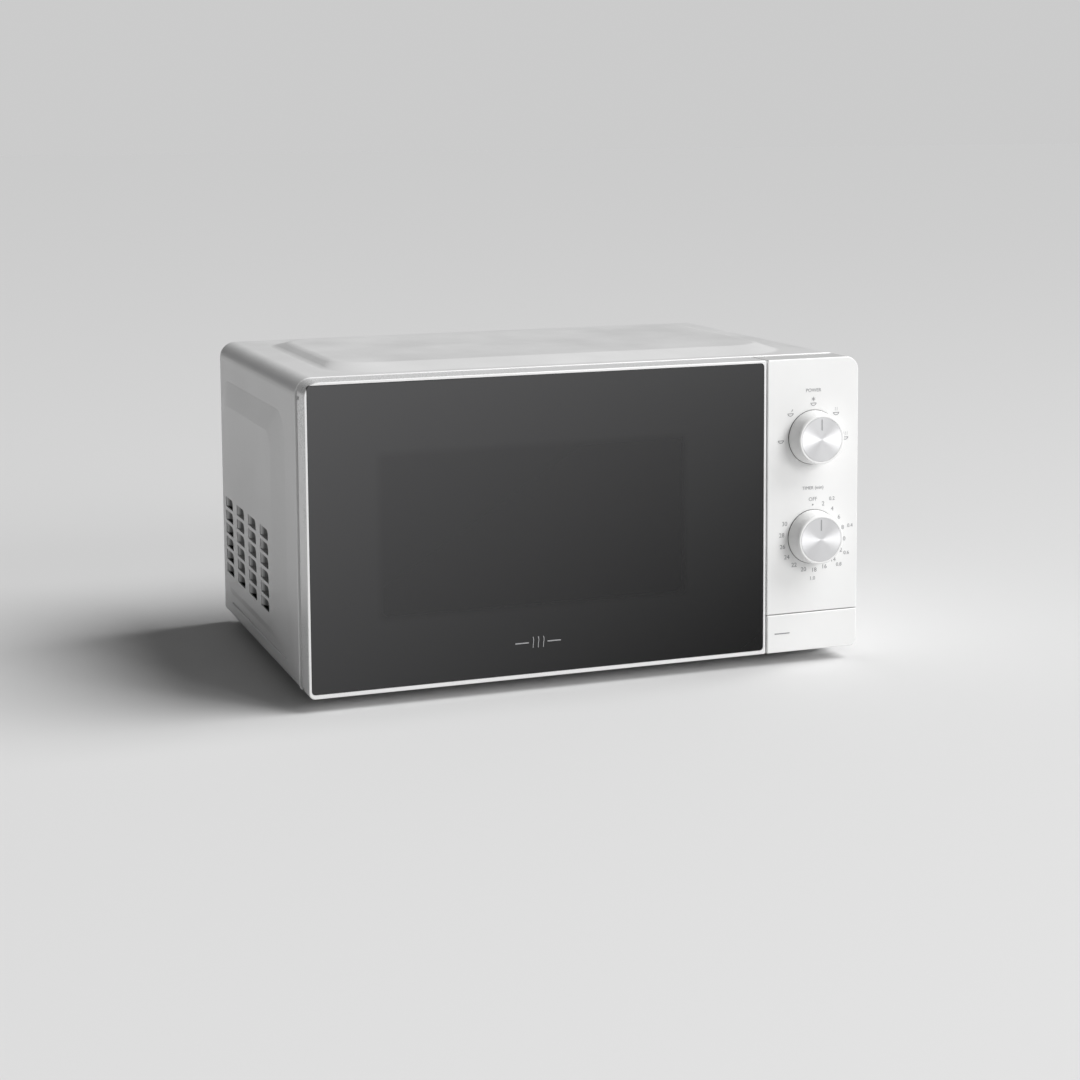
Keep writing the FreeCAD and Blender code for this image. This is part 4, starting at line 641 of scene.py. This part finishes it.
@dataclass
class Printer:
    """Thin printed marks on an upright face."""

    face_y: float
    thickness: float = 0.00006
    letter_steps: int = 3
    bar_round: float = 0.3
    bar_steps: int = 2
    wave_swing: float = 0.55
    wave_steps: int = 6
    wave_round: int = 1
    bowl_sides: int = 32
    bowl_cut: float = 0.1
    bowl_wall: float = 0.2
    ring_sides: int = 96
    marks: list[bpy.types.Object] = field(default_factory=list)

    def stand(self, piece: bpy.types.Object, x: float, z: float, turn: float = 0.0) -> None:
        """Stand a flat mark up against the face and keep it.

        Args:
            piece: Mark that lies flat in X and Y.
            x: Place across the face.
            z: Height on the face.
            turn: Clockwise turn of the mark, in radians.
        """
        upright = Matrix.Rotation(QUARTER_TURN, 4, "X") @ Matrix.Rotation(-turn, 4, "Z")
        piece.matrix_world = Matrix.Translation((x, self.face_y - self.thickness, z)) @ upright
        self.marks.append(settle(piece))

    def text(self, words: str, x: float, z: float, size: float) -> None:
        """Print short generic text, centred on a place.

        Args:
            words: The text.
            x: Place across the face.
            z: Height on the face.
            size: Size of the letters.
        """
        deselect()
        bpy.ops.object.text_add()
        piece = take("mark")
        piece.data.body = words
        piece.data.size = size
        piece.data.align_x = "CENTER"
        piece.data.align_y = "CENTER"
        piece.data.resolution_u = self.letter_steps
        piece.data.extrude = self.thickness
        bpy.ops.object.convert(target="MESH")
        self.stand(take("mark"), x, z)

    def bar(self, x: float, z: float, long: float, wide: float, turn: float = 0.0) -> None:
        """Print a straight bar with softened edges, upright before its turn.

        Args:
            x: Place across the face.
            z: Height on the face.
            long: Its length.
            wide: Its width.
            turn: Its clockwise turn, in radians.
        """
        deselect()
        bpy.ops.mesh.primitive_cube_add(size=1.0)
        piece = take("mark")
        piece.scale = (wide, long, 2 * self.thickness)
        settle(piece)
        edit_all()
        bpy.ops.mesh.bevel(offset=min(wide, long) * self.bar_round, segments=self.bar_steps,
                           affect="EDGES")
        bpy.ops.object.mode_set(mode="OBJECT")
        self.stand(piece, x, z, turn)

    def wave(self, x: float, z: float, tall: float, wire: float) -> None:
        """Print a small upright wave, as for steam.

        Args:
            x: Place across the face.
            z: Height on the face.
            tall: Its height.
            wire: Width of its line.
        """
        deselect()
        bpy.ops.curve.primitive_bezier_curve_add(radius=tall / 2)
        piece = take("mark")
        piece.data.dimensions = "3D"
        piece.data.bevel_depth = wire / 2
        piece.data.bevel_resolution = self.wave_round
        piece.data.resolution_u = self.wave_steps
        piece.data.use_fill_caps = True
        bpy.ops.object.convert(target="MESH")
        piece = take("mark")
        piece.scale = (1.0, self.wave_swing, self.thickness / wire)
        settle(piece)
        self.stand(piece, x, z, QUARTER_TURN)

    @staticmethod
    def disc(radius: float, sides: int) -> bpy.types.Object:
        """Add a flat disc and enter edit mode with all of it selected.

        Args:
            radius: Its radius.
            sides: Number of its sides.

        Returns:
            The disc.
        """
        deselect()
        bpy.ops.mesh.primitive_circle_add(vertices=sides, radius=radius, fill_type="NGON")
        piece = take("mark")
        edit_all()
        return piece

    def rim(self, wide: float) -> None:
        """Keep only a band along the edge of the face in edit mode, thicken it and leave edit mode.

        Args:
            wide: Width of the band.
        """
        bpy.ops.mesh.select_all(action="SELECT")
        bpy.ops.mesh.inset(thickness=wide)
        bpy.ops.mesh.delete(type="FACE")
        bpy.ops.mesh.select_all(action="SELECT")
        bpy.ops.mesh.extrude_region_move(TRANSFORM_OT_translate={"value": (0, 0, self.thickness)})
        bpy.ops.mesh.select_all(action="SELECT")
        bpy.ops.mesh.normals_make_consistent(inside=False)
        bpy.ops.object.mode_set(mode="OBJECT")

    def bowl(self, x: float, z: float, radius: float) -> None:
        """Print the outline of a bowl.

        Args:
            x: Place across the face.
            z: Height on the face.
            radius: Its radius.
        """
        piece = self.disc(radius, self.bowl_sides)
        bpy.ops.mesh.bisect(plane_co=(0, -radius * self.bowl_cut, 0), plane_no=(0, 1, 0),
                            clear_outer=True)
        self.rim(radius * self.bowl_wall)
        self.stand(piece, x, z)

    def ring(self, x: float, z: float, outer: float, wide: float) -> None:
        """Print a flat ring.

        Args:
            x: Place across the face.
            z: Height on the face.
            outer: Its outer radius.
            wide: Width of its band.
        """
        piece = self.disc(outer, self.ring_sides)
        self.rim(wide)
        self.stand(piece, x, z)

    def finish(self, name: str) -> bpy.types.Object:
        """Join all the marks into one piece and start afresh.

        Args:
            name: Name of the piece.

        Returns:
            The piece.
        """
        piece = join(name, self.marks)
        self.marks = []
        return piece


# ---- sub-assemblies ----

@dataclass
class Casing:
    """Painted cover, sheet parts, feet and rear fittings."""

    plate: Finish = PowderPaint("plate_paint", (0.78, 0.78, 0.77), roughness=0.42)
    zinc: Finish = ZincSheet("zinc_sheet", (0.62, 0.63, 0.64), roughness=0.36, metallic=1.0)
    rubber: Finish = Finish("foot_rubber", (0.035, 0.035, 0.036), roughness=0.75, grain=1800.0,
                            grain_height=0.00008, variation=0.2)
    steel: Finish = BrushedMetal("steel", (0.60, 0.61, 0.62), roughness=0.28, metallic=1.0)
    black: Finish = Finish("black_plastic", (0.03, 0.03, 0.031), roughness=0.5, variation=0.15)
    bead_radius: float = 0.8 * MM
    bead_sink: float = 0.3 * MM
    bead_corner: float = 12.5 * MM
    bead_corner_low: float = 4.5 * MM
    bead_behind: float = 0.2 * MM
    bead_steps: int = 3
    corner_steps: int = 8
    corner_share: float = 0.999

    def build(self) -> None:
        """Dress the casing and add the bead on its front edge, whose lighter paint is a painted highlight.
        """
        paint = CoverPaint("cover_paint", (0.74, 0.74, 0.74), roughness=0.34, grain_height=0.00002,
                           outside=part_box("outer_cover")[1].x)
        dress(["outer_cover"], paint.make())
        dress(["front_plate"], self.plate.make())
        dress(["base_plate", "rear_panel"], self.zinc.make())
        dress([f"foot_{end}_{side}" for end in ("front", "rear") for side in ("left", "right")],
              self.rubber.make())
        dress(["cover_screws", "lower_hinge", "upper_hinge", "interlock_bracket", "power_shaft",
               "timer_shaft", "latch_spring", "button_spring", "timer_bell"], self.steel.make())
        dress(["cord_bushing", "lamp_holder", "primary_switch", "secondary_switch", "monitor_switch",
               "fan_blade"], self.black.make())
        self.roll_bead()

    def roll_bead(self) -> None:
        """Add the tube that runs round the cover's front edge, painted whiter than the cover as a painted
        highlight on the rounded edge.
        """
        low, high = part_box("control_panel")
        cover_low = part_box("outer_cover")[0]
        right = high.x - self.bead_sink
        bottom = low.z + self.bead_sink
        top = high.z - self.bead_sink
        deselect()
        bpy.ops.mesh.primitive_plane_add(size=1.0, location=(0.0, 0.0, 0.0))
        bead = take("cover_bead")
        bead.scale = (2 * right, top - bottom, 1.0)
        settle(bead)
        for upper, radius in ((True, self.bead_corner), (False, self.bead_corner_low)):
            self.round_corners(bead, upper, radius)
        edit_all()
        bpy.ops.mesh.delete(type="ONLY_FACE")
        bpy.ops.object.mode_set(mode="OBJECT")
        bpy.ops.object.convert(target="CURVE")
        bead = take("cover_bead")
        bead.data.bevel_depth = self.bead_radius
        bead.data.bevel_resolution = self.bead_steps
        bpy.ops.object.convert(target="MESH")
        bead = take("cover_bead")
        middle = (0.0, cover_low.y + self.bead_radius + self.bead_behind, (top + bottom) / 2)
        bead.matrix_world = Matrix.Translation(middle) @ Matrix.Rotation(QUARTER_TURN, 4, "X")
        settle(bead)
        bpy.ops.object.shade_smooth()
        # painted highlight: the bead is whiter than the cover paint to stand for the bright line where
        # light catches the rounded front edge
        white = PowderPaint("bead_painted_highlight", (0.90, 0.90, 0.90), roughness=0.3, grain_height=0.00001)
        fit_out(bead, Body.CASING, white.make())

    def round_corners(self, outline: bpy.types.Object, upper: bool, radius: float) -> None:
        """Round the two upper or the two lower corners of a flat outline.

        Args:
            outline: Flat outline round its own centre.
            upper: Whether the corners with positive Y are rounded.
            radius: Their radius.
        """
        bpy.ops.object.mode_set(mode="EDIT")
        bpy.ops.mesh.select_mode(type="VERT")
        bpy.ops.mesh.select_all(action="DESELECT")
        bpy.ops.object.mode_set(mode="OBJECT")
        reach = max(abs(vertex.co.y) for vertex in outline.data.vertices)
        sign = 1 if upper else -1
        for vertex in outline.data.vertices:
            vertex.select = vertex.co.y * sign > reach * self.corner_share
        bpy.ops.object.mode_set(mode="EDIT")
        bpy.ops.mesh.bevel(offset=radius, segments=self.corner_steps, affect="VERTICES")
        bpy.ops.object.mode_set(mode="OBJECT")


@dataclass
class Door:
    """Moulded door with tinted glass carrying a painted reflection gradient, screen, choke parts and a
    generic mark.
    """

    white: Finish = Moulding("door_moulding", (0.82, 0.82, 0.82), roughness=0.28, coat=0.25,
                            gloss_spread=0.015, grain_height=0.000001)
    choke: Finish = Finish("choke_plastic", (0.05, 0.05, 0.052), roughness=0.42, variation=0.12)
    film: Finish = ClearGlass("clear_film", (0.92, 0.94, 0.94), roughness=0.06, grain_height=0.000005)
    nylon: Finish = Finish("latch_plastic", (0.80, 0.79, 0.74), roughness=0.4)
    ink: Finish = Finish("pale_print", (0.42, 0.42, 0.43), roughness=0.35)
    glass_border: float = 2 * MM
    mark_from_left: float = 179 * MM
    mark_high: float = 37.5 * MM
    wave_pitch: float = 4.2 * MM
    wave_tall: float = 8.5 * MM
    wave_wire: float = 0.9 * MM
    bar_reach: float = 13 * MM
    bar_long: float = 11 * MM
    bar_wide: float = 0.8 * MM

    def build(self) -> None:
        """Dress the door and print its mark."""
        glass_low, glass_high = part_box("door_glass")
        film_low, film_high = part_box("door_inner_film")
        window = {"window_low": tuple(film_low), "window_high": tuple(film_high)}
        glass = PrintedGlass("tinted_glass", (0.02, 0.02, 0.021), roughness=0.07, grain_height=0.000002,
                             glass_low=tuple(glass_low), glass_high=tuple(glass_high), **window)
        screen = PerforatedSheet("screen_metal", (0.045, 0.045, 0.047), roughness=0.45, metallic=0.2,
                                 **window)
        dress(["door_frame"], self.white.make())
        dress(["door_glass"], glass.make())
        dress(["door_screen"], screen.make())
        dress(["door_choke", "door_choke_cover"], self.choke.make())
        dress(["door_inner_film"], self.film.make())
        dress(["latch_hooks", "release_lever"], self.nylon.make())
        self.print_mark(glass_low)

    def print_mark(self, glass_low: Vector) -> None:
        """Print three plain waves between two bars, low on the glass.

        Args:
            glass_low: Lowest corner of the glass.
        """
        x = glass_low.x - self.glass_border + self.mark_from_left
        printer = Printer(glass_low.y)
        for step in (-1, 0, 1):
            printer.wave(x + step * self.wave_pitch, self.mark_high, self.wave_tall, self.wave_wire)
        for side in (-1, 1):
            printer.bar(x + side * self.bar_reach, self.mark_high, self.bar_long, self.bar_wide,
                        QUARTER_TURN)
        fit_out(printer.finish("door_mark"), Body.DOOR, self.ink.make())


@dataclass
class ControlPanel:
    """White panel with its dial scales, its push button and both dials."""

    white: Finish = Moulding("panel_moulding", (0.86, 0.86, 0.855), roughness=0.24, coat=0.3,
                             gloss_spread=0.015, grain_height=0.000001)
    ink: Finish = Finish("grey_print", (0.30, 0.30, 0.31), roughness=0.4)
    seam: Finish = Finish("seam_shadow", (0.10, 0.10, 0.10), roughness=0.6)
    number_size: float = 4.9 * MM
    number_reach: float = 27.4 * MM
    weight_reach: float = 34.0 * MM
    seam_wide: float = 1.3 * MM
    minutes_per_degree: float = 30 / 295
    weight_angles: tuple[float, ...] = (30.0, 79.0, 117.0, 136.0, 180.0)
    weight_share: float = 0.86
    icon_reach: float = 28.5 * MM
    settings: tuple[tuple[float, Picture], ...] = (
        (-90.0, Picture.BOWL), (-45.0, Picture.SPOON), (0.0, Picture.FLAKE), (45.0, Picture.TWO_WAVES),
        (90.0, Picture.THREE_WAVES))
    power_label_high: float = 37.4 * MM
    power_label_size: float = 3.9 * MM
    timer_label_high: float = 39.2 * MM
    timer_label_size: float = 3.7 * MM
    off_high: float = 30.0 * MM
    off_size: float = 4.3 * MM
    tick_high: float = 25.6 * MM
    tick_long: float = 1.2 * MM
    print_wide: float = 0.9 * MM
    last_minute: int = 30
    minute_step: int = 2
    bowl_radius: float = 2.7 * MM
    bowl_drop: float = 1.0 * MM
    spoon_shift: float = 1.5 * MM
    spoon_long: float = 2.0 * MM
    spoon_wide: float = 0.5 * MM
    spoon_turn: float = 0.6
    icon_high: float = 2.0 * MM
    flake_long: float = 3.4 * MM
    flake_wide: float = 0.4 * MM
    flake_bowl_drop: float = 0.8 * MM
    wave_pitch: float = 1.6 * MM
    wave_high: float = 1.4 * MM
    wave_tall: float = 2.8 * MM
    wave_wire: float = 0.45 * MM
    line_from_left: float = 13 * MM
    line_long: float = 13.2 * MM
    line_wide: float = 0.8 * MM
    pointer_sink: float = 0.1 * MM
    pointer_high: float = 11.6 * MM
    pointer_long: float = 9.0 * MM

    def build(self) -> None:
        """Dress the mouldings, print the scales and finish the dials."""
        white = self.white.make()
        dress(["control_panel", "door_open_button", "power_knob", "timer_knob"], white)
        ink = self.ink.make()
        face_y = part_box("door_open_button")[0].y
        power = self.centre("power_knob_cap")
        timer = self.centre("timer_knob_cap")
        self.print_power(face_y, power, ink)
        self.print_timer(face_y, timer, ink)
        self.print_button(face_y, ink)
        self.shade_seams(face_y)
        for name, body, centre in (("power", Body.POWER_DIAL, power), ("timer", Body.TIMER_DIAL, timer)):
            self.finish_dial(name, body, centre, ink)

    @staticmethod
    def centre(node: str) -> Vector:
        """Find the middle of a node's box.

        Args:
            node: Name of the node.

        Returns:
            The middle.
        """
        low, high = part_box(node)
        return (low + high) / 2

    @staticmethod
    def around(centre: Vector, reach: float, degrees: float) -> tuple[float, float]:
        """Find a place beside a dial.

        Args:
            centre: Middle of the dial.
            reach: Distance from it.
            degrees: Clockwise angle from the top.

        Returns:
            The place across the panel and its height.
        """
        angle = math.radians(degrees)
        return centre.x + reach * math.sin(angle), centre.z + reach * math.cos(angle)

    def print_power(self, face_y: float, centre: Vector, ink: bpy.types.Material) -> None:
        """Print the five power pictures and the label above the upper dial.

        Args:
            face_y: Front of the panel.
            centre: Middle of the dial's cap.
            ink: Material of the print.
        """
        printer = Printer(face_y)
        printer.text("POWER", centre.x, centre.z + self.power_label_high, self.power_label_size)
        for degrees, picture in self.settings:
            x, z = self.around(centre, self.icon_reach, degrees)
            self.print_picture(printer, picture, x, z)
        fit_out(printer.finish("power_scale"), Body.CASING, ink)

    def print_picture(self, printer: Printer, picture: Picture, x: float, z: float) -> None:
        """Print one of the power dial's pictures.

        Args:
            printer: What prints it.
            picture: Which picture.
            x: Place across the panel.
            z: Height on the panel.
        """
        if picture is Picture.SPOON:
            printer.bowl(x, z, self.bowl_radius)
            printer.bar(x + self.spoon_shift, z + self.icon_high, self.spoon_long, self.spoon_wide,
                        self.spoon_turn)
            return
        if picture is Picture.FLAKE:
            for turn in range(3):
                printer.bar(x, z + self.icon_high, self.flake_long, self.flake_wide, turn * math.pi / 3)
            printer.bowl(x, z - self.flake_bowl_drop, self.bowl_radius)
            return
        printer.bowl(x, z - self.bowl_drop, self.bowl_radius)
        waves = {Picture.BOWL: 0, Picture.TWO_WAVES: 2, Picture.THREE_WAVES: 3}[picture]
        for index in range(waves):
            shift = (index - (waves - 1) / 2) * self.wave_pitch
            printer.wave(x + shift, z + self.wave_high, self.wave_tall, self.wave_wire)

    def print_timer(self, face_y: float, centre: Vector, ink: bpy.types.Material) -> None:
        """Print the minutes, the defrost weights and the label round the lower dial.

        Args:
            face_y: Front of the panel.
            centre: Middle of the dial's cap.
            ink: Material of the print.
        """
        printer = Printer(face_y)
        printer.text("TIMER (min)", centre.x, centre.z + self.timer_label_high, self.timer_label_size)
        printer.text("OFF", centre.x, centre.z + self.off_high, self.off_size)
        printer.bar(centre.x, centre.z + self.tick_high, self.tick_long, self.print_wide)
        for minutes in range(self.minute_step, self.last_minute + 1, self.minute_step):
            degrees = minutes / self.minutes_per_degree
            x, z = self.around(centre, self.number_reach, degrees)
            printer.text(str(minutes), x, z, self.number_size)
        for step, degrees in enumerate(self.weight_angles):
            x, z = self.around(centre, self.weight_reach, degrees)
            printer.text(f"{(step + 1) / 5:.1f}", x, z, self.number_size * self.weight_share)
        fit_out(printer.finish("timer_scale"), Body.CASING, ink)

    def print_button(self, face_y: float, ink: bpy.types.Material) -> None:
        """Print the short line that marks the push button.

        Args:
            face_y: Front of the button.
            ink: Material of the print.
        """
        low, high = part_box("door_open_button")
        printer = Printer(face_y)
        x = low.x + self.line_from_left
        z = (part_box("door_frame")[0].z + high.z) / 2
        printer.bar(x, z, self.line_long, self.line_wide, QUARTER_TURN)
        fit_out(printer.finish("button_line"), Body.BUTTON, ink)

    def shade_seams(self, face_y: float) -> None:
        """Lay a dark ring on the panel in the gap under each dial.

        Args:
            face_y: Front of the panel.
        """
        printer = Printer(face_y)
        for node in ("power_knob", "timer_knob"):
            low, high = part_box(node)
            outer = (high.x - low.x) / 2 + self.seam_wide / 4
            printer.ring((low.x + high.x) / 2, (low.z + high.z) / 2, outer, self.seam_wide)
        fit_out(printer.finish("dial_seams"), Body.CASING, self.seam.make())

    def finish_dial(self, name: str, body: Body, centre: Vector, ink: bpy.types.Material) -> None:
        """Dress a dial's cap as spun metal and lay the pointer line on it.

        Args:
            name: Dial's name.
            body: Dial's body.
            centre: Middle of its cap.
            ink: Material of the pointer line.
        """
        cap = f"{name}_knob_cap"
        spun = SpunMetal(f"{name}_cap_metal", (0.78, 0.78, 0.79), roughness=0.3, metallic=1.0,
                         grain_height=0.0000002, gloss_spread=0.02, variation=0.01, centre=tuple(centre))
        dress([cap], spun.make())
        printer = Printer(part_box(cap)[0].y + self.pointer_sink)
        printer.bar(centre.x, centre.z + self.pointer_high, self.pointer_long, self.print_wide)
        fit_out(printer.finish(f"{name}_pointer"), body, ink)


@dataclass
class OvenInside:
    """Liner, turntable and the parts behind the panel."""

    liner: Finish = PowderPaint("liner_paint", (0.62, 0.62, 0.61), roughness=0.4)
    tray: Finish = ClearGlass("tray_glass", (0.88, 0.95, 0.93), roughness=0.03, grain_height=0.000002)
    carrier: Finish = Finish("carrier_plastic", (0.80, 0.80, 0.78), roughness=0.45)
    mica: Finish = Finish("mica_sheet", (0.46, 0.42, 0.35), roughness=0.55, cloud=120.0, variation=0.25)
    bulb: Finish = ClearGlass("bulb_glass", (0.95, 0.95, 0.92), roughness=0.03)
    case: Finish = Finish("unit_case", (0.16, 0.16, 0.17), roughness=0.5)
    motor: Finish = BrushedMetal("motor_case", (0.55, 0.56, 0.57), roughness=0.35, metallic=1.0)
    guide: Finish = BrushedMetal("guide_aluminium", (0.72, 0.73, 0.74), roughness=0.32, metallic=1.0)
    duct: Finish = Finish("duct_plastic", (0.72, 0.72, 0.69), roughness=0.5)
    board: Finish = CircuitBoard("board", (0.03, 0.14, 0.05), roughness=0.35)
    winding: Finish = WoundCopper("winding", (0.55, 0.25, 0.10), roughness=0.3, metallic=0.8)

    def build(self) -> None:
        """Dress the inner parts."""
        dress(["oven_cavity"], self.liner.make())
        dress(["glass_tray"], self.tray.make())
        dress(["roller_ring", "roller_1", "roller_2", "roller_3", "turntable_coupler"], self.carrier.make())
        dress(["waveguide_cover"], self.mica.make())
        dress(["lamp_bulb"], self.bulb.make())
        dress(["power_selector", "timer_unit", "noise_filter"], self.case.make())
        dress(["turntable_motor", "fan_motor", "magnetron", "thermal_cutout"], self.motor.make())
        dress(["waveguide", "inverter_heatsink"], self.guide.make())
        dress(["air_duct"], self.duct.make())
        dress(["inverter_board"], self.board.make())
        dress(["inverter_transformer"], self.winding.make())


@dataclass
class Studio:
    """Pale floor, soft lights and the camera."""

    place: tuple[float, float, float] = (-0.5737, -1.6135, 0.4315)
    heading: float = 19.86
    pitch: float = 5.955
    roll: float = -0.38
    lens: float = 69.53
    shift: float = -0.185
    sensor: float = 36.0
    nearest: float = 0.05
    farthest: float = 100.0
    floor_size: float = 60.0
    floor_drop: float = 0.2 * MM
    floor_tone: float = 0.66
    floor_roughness: float = 0.9
    key_from: tuple[float, float, float] = (1.9, -3.1, 1.45)
    key_aim: tuple[float, float, float] = (0.0, 0.0, 0.15)
    key_size: float = 1.6
    key_power: float = 62.0
    ambient: float = 0.12
    backdrop: float = 0.6
    overhead: float = 3.35
    overhead_spread: float = 45.0
    overhead_from: tuple[float, float, float] = (0.8, -0.25, 1.0)

    def build(self) -> None:
        """Make the floor, the lights and the camera."""
        self.make_floor()
        self.make_lights()
        self.make_camera()

    def make_floor(self) -> None:
        """Lay a plain pale floor under the feet."""
        deselect()
        bpy.ops.mesh.primitive_plane_add(size=self.floor_size, location=(0.0, 0.0, -self.floor_drop))
        floor = settle(take("studio_floor"))
        tree = Tree("studio_floor")
        tree.shader.inputs["Base Color"].default_value = shade((1.0, 1.0, 1.0), self.floor_tone)
        tree.shader.inputs["Roughness"].default_value = self.floor_roughness
        floor.data.materials.append(tree.material)

    def make_lights(self) -> None:
        """Hang the soft lights and set the surroundings."""
        self.add_light("key_light", self.key_from, self.key_aim, self.key_size, self.key_power)
        self.add_sun()
        world = bpy.data.worlds.new("studio_world")
        world.use_nodes = True
        tree = world.node_tree
        background = tree.nodes["Background"]
        background.inputs["Color"].default_value = (1.0, 1.0, 1.0, 1.0)
        seen = tree.nodes.new("ShaderNodeLightPath").outputs["Is Camera Ray"]
        strength = tree.nodes.new("ShaderNodeMapRange")
        strength.inputs["To Min"].default_value = self.ambient
        strength.inputs["To Max"].default_value = self.backdrop
        tree.links.new(seen, strength.inputs["Value"])
        tree.links.new(strength.outputs[0], background.inputs["Strength"])
        bpy.context.scene.world = world

    def add_sun(self) -> None:
        """Add a wide, even light from high up on the right."""
        data = bpy.data.lights.new("overhead_light", "SUN")
        data.energy = self.overhead
        data.angle = math.radians(self.overhead_spread)
        light = bpy.data.objects.new("overhead_light", data)
        bpy.context.scene.collection.objects.link(light)
        light.rotation_euler = Vector(self.overhead_from).to_track_quat("Z", "Y").to_euler()

    @staticmethod
    def add_light(name: str, place: tuple[float, float, float], aim: tuple[float, float, float],
                  size: float, power: float) -> None:
        """Add one square soft light.

        Args:
            name: Name of the light.
            place: Where it hangs.
            aim: Point that it faces.
            size: Length of its side.
            power: Its power in watts.
        """
        data = bpy.data.lights.new(name, "AREA")
        data.size = size
        data.energy = power
        light = bpy.data.objects.new(name, data)
        bpy.context.scene.collection.objects.link(light)
        light.location = place
        light.rotation_euler = (Vector(aim) - Vector(place)).to_track_quat("-Z", "Y").to_euler()

    def make_camera(self) -> None:
        """Set the camera at the viewing angle."""
        heading, pitch, roll = (math.radians(a) for a in (self.heading, self.pitch, self.roll))
        ahead = Vector((math.sin(heading) * math.cos(pitch), math.cos(heading) * math.cos(pitch),
                        -math.sin(pitch)))
        across = Vector((math.cos(heading), -math.sin(heading), 0.0))
        up = across.cross(ahead)
        turned = math.cos(roll) * across + math.sin(roll) * up
        upright = math.cos(roll) * up - math.sin(roll) * across
        data = bpy.data.cameras.new("camera")
        data.lens = self.lens
        data.sensor_width = self.sensor
        data.shift_y = self.shift
        data.clip_start = self.nearest
        data.clip_end = self.farthest
        camera = bpy.data.objects.new("camera", data)
        bpy.context.scene.collection.objects.link(camera)
        turn = Matrix((turned, upright, -ahead)).transposed().to_4x4()
        camera.matrix_world = Matrix.Translation(self.place) @ turn
        bpy.context.scene.camera = camera


def main() -> None:
    """Build every sub-assembly in order."""
    logging.basicConfig(level=logging.INFO, format="%(name)s: %(message)s")
    bpy.context.scene.view_settings.view_transform = "Standard"
    for part in (Casing(), Door(), ControlPanel(), OvenInside(), Studio()):
        LOG.info("building %s", type(part).__name__)
        part.build()
    deselect()


if __name__ == "__main__":
    main()
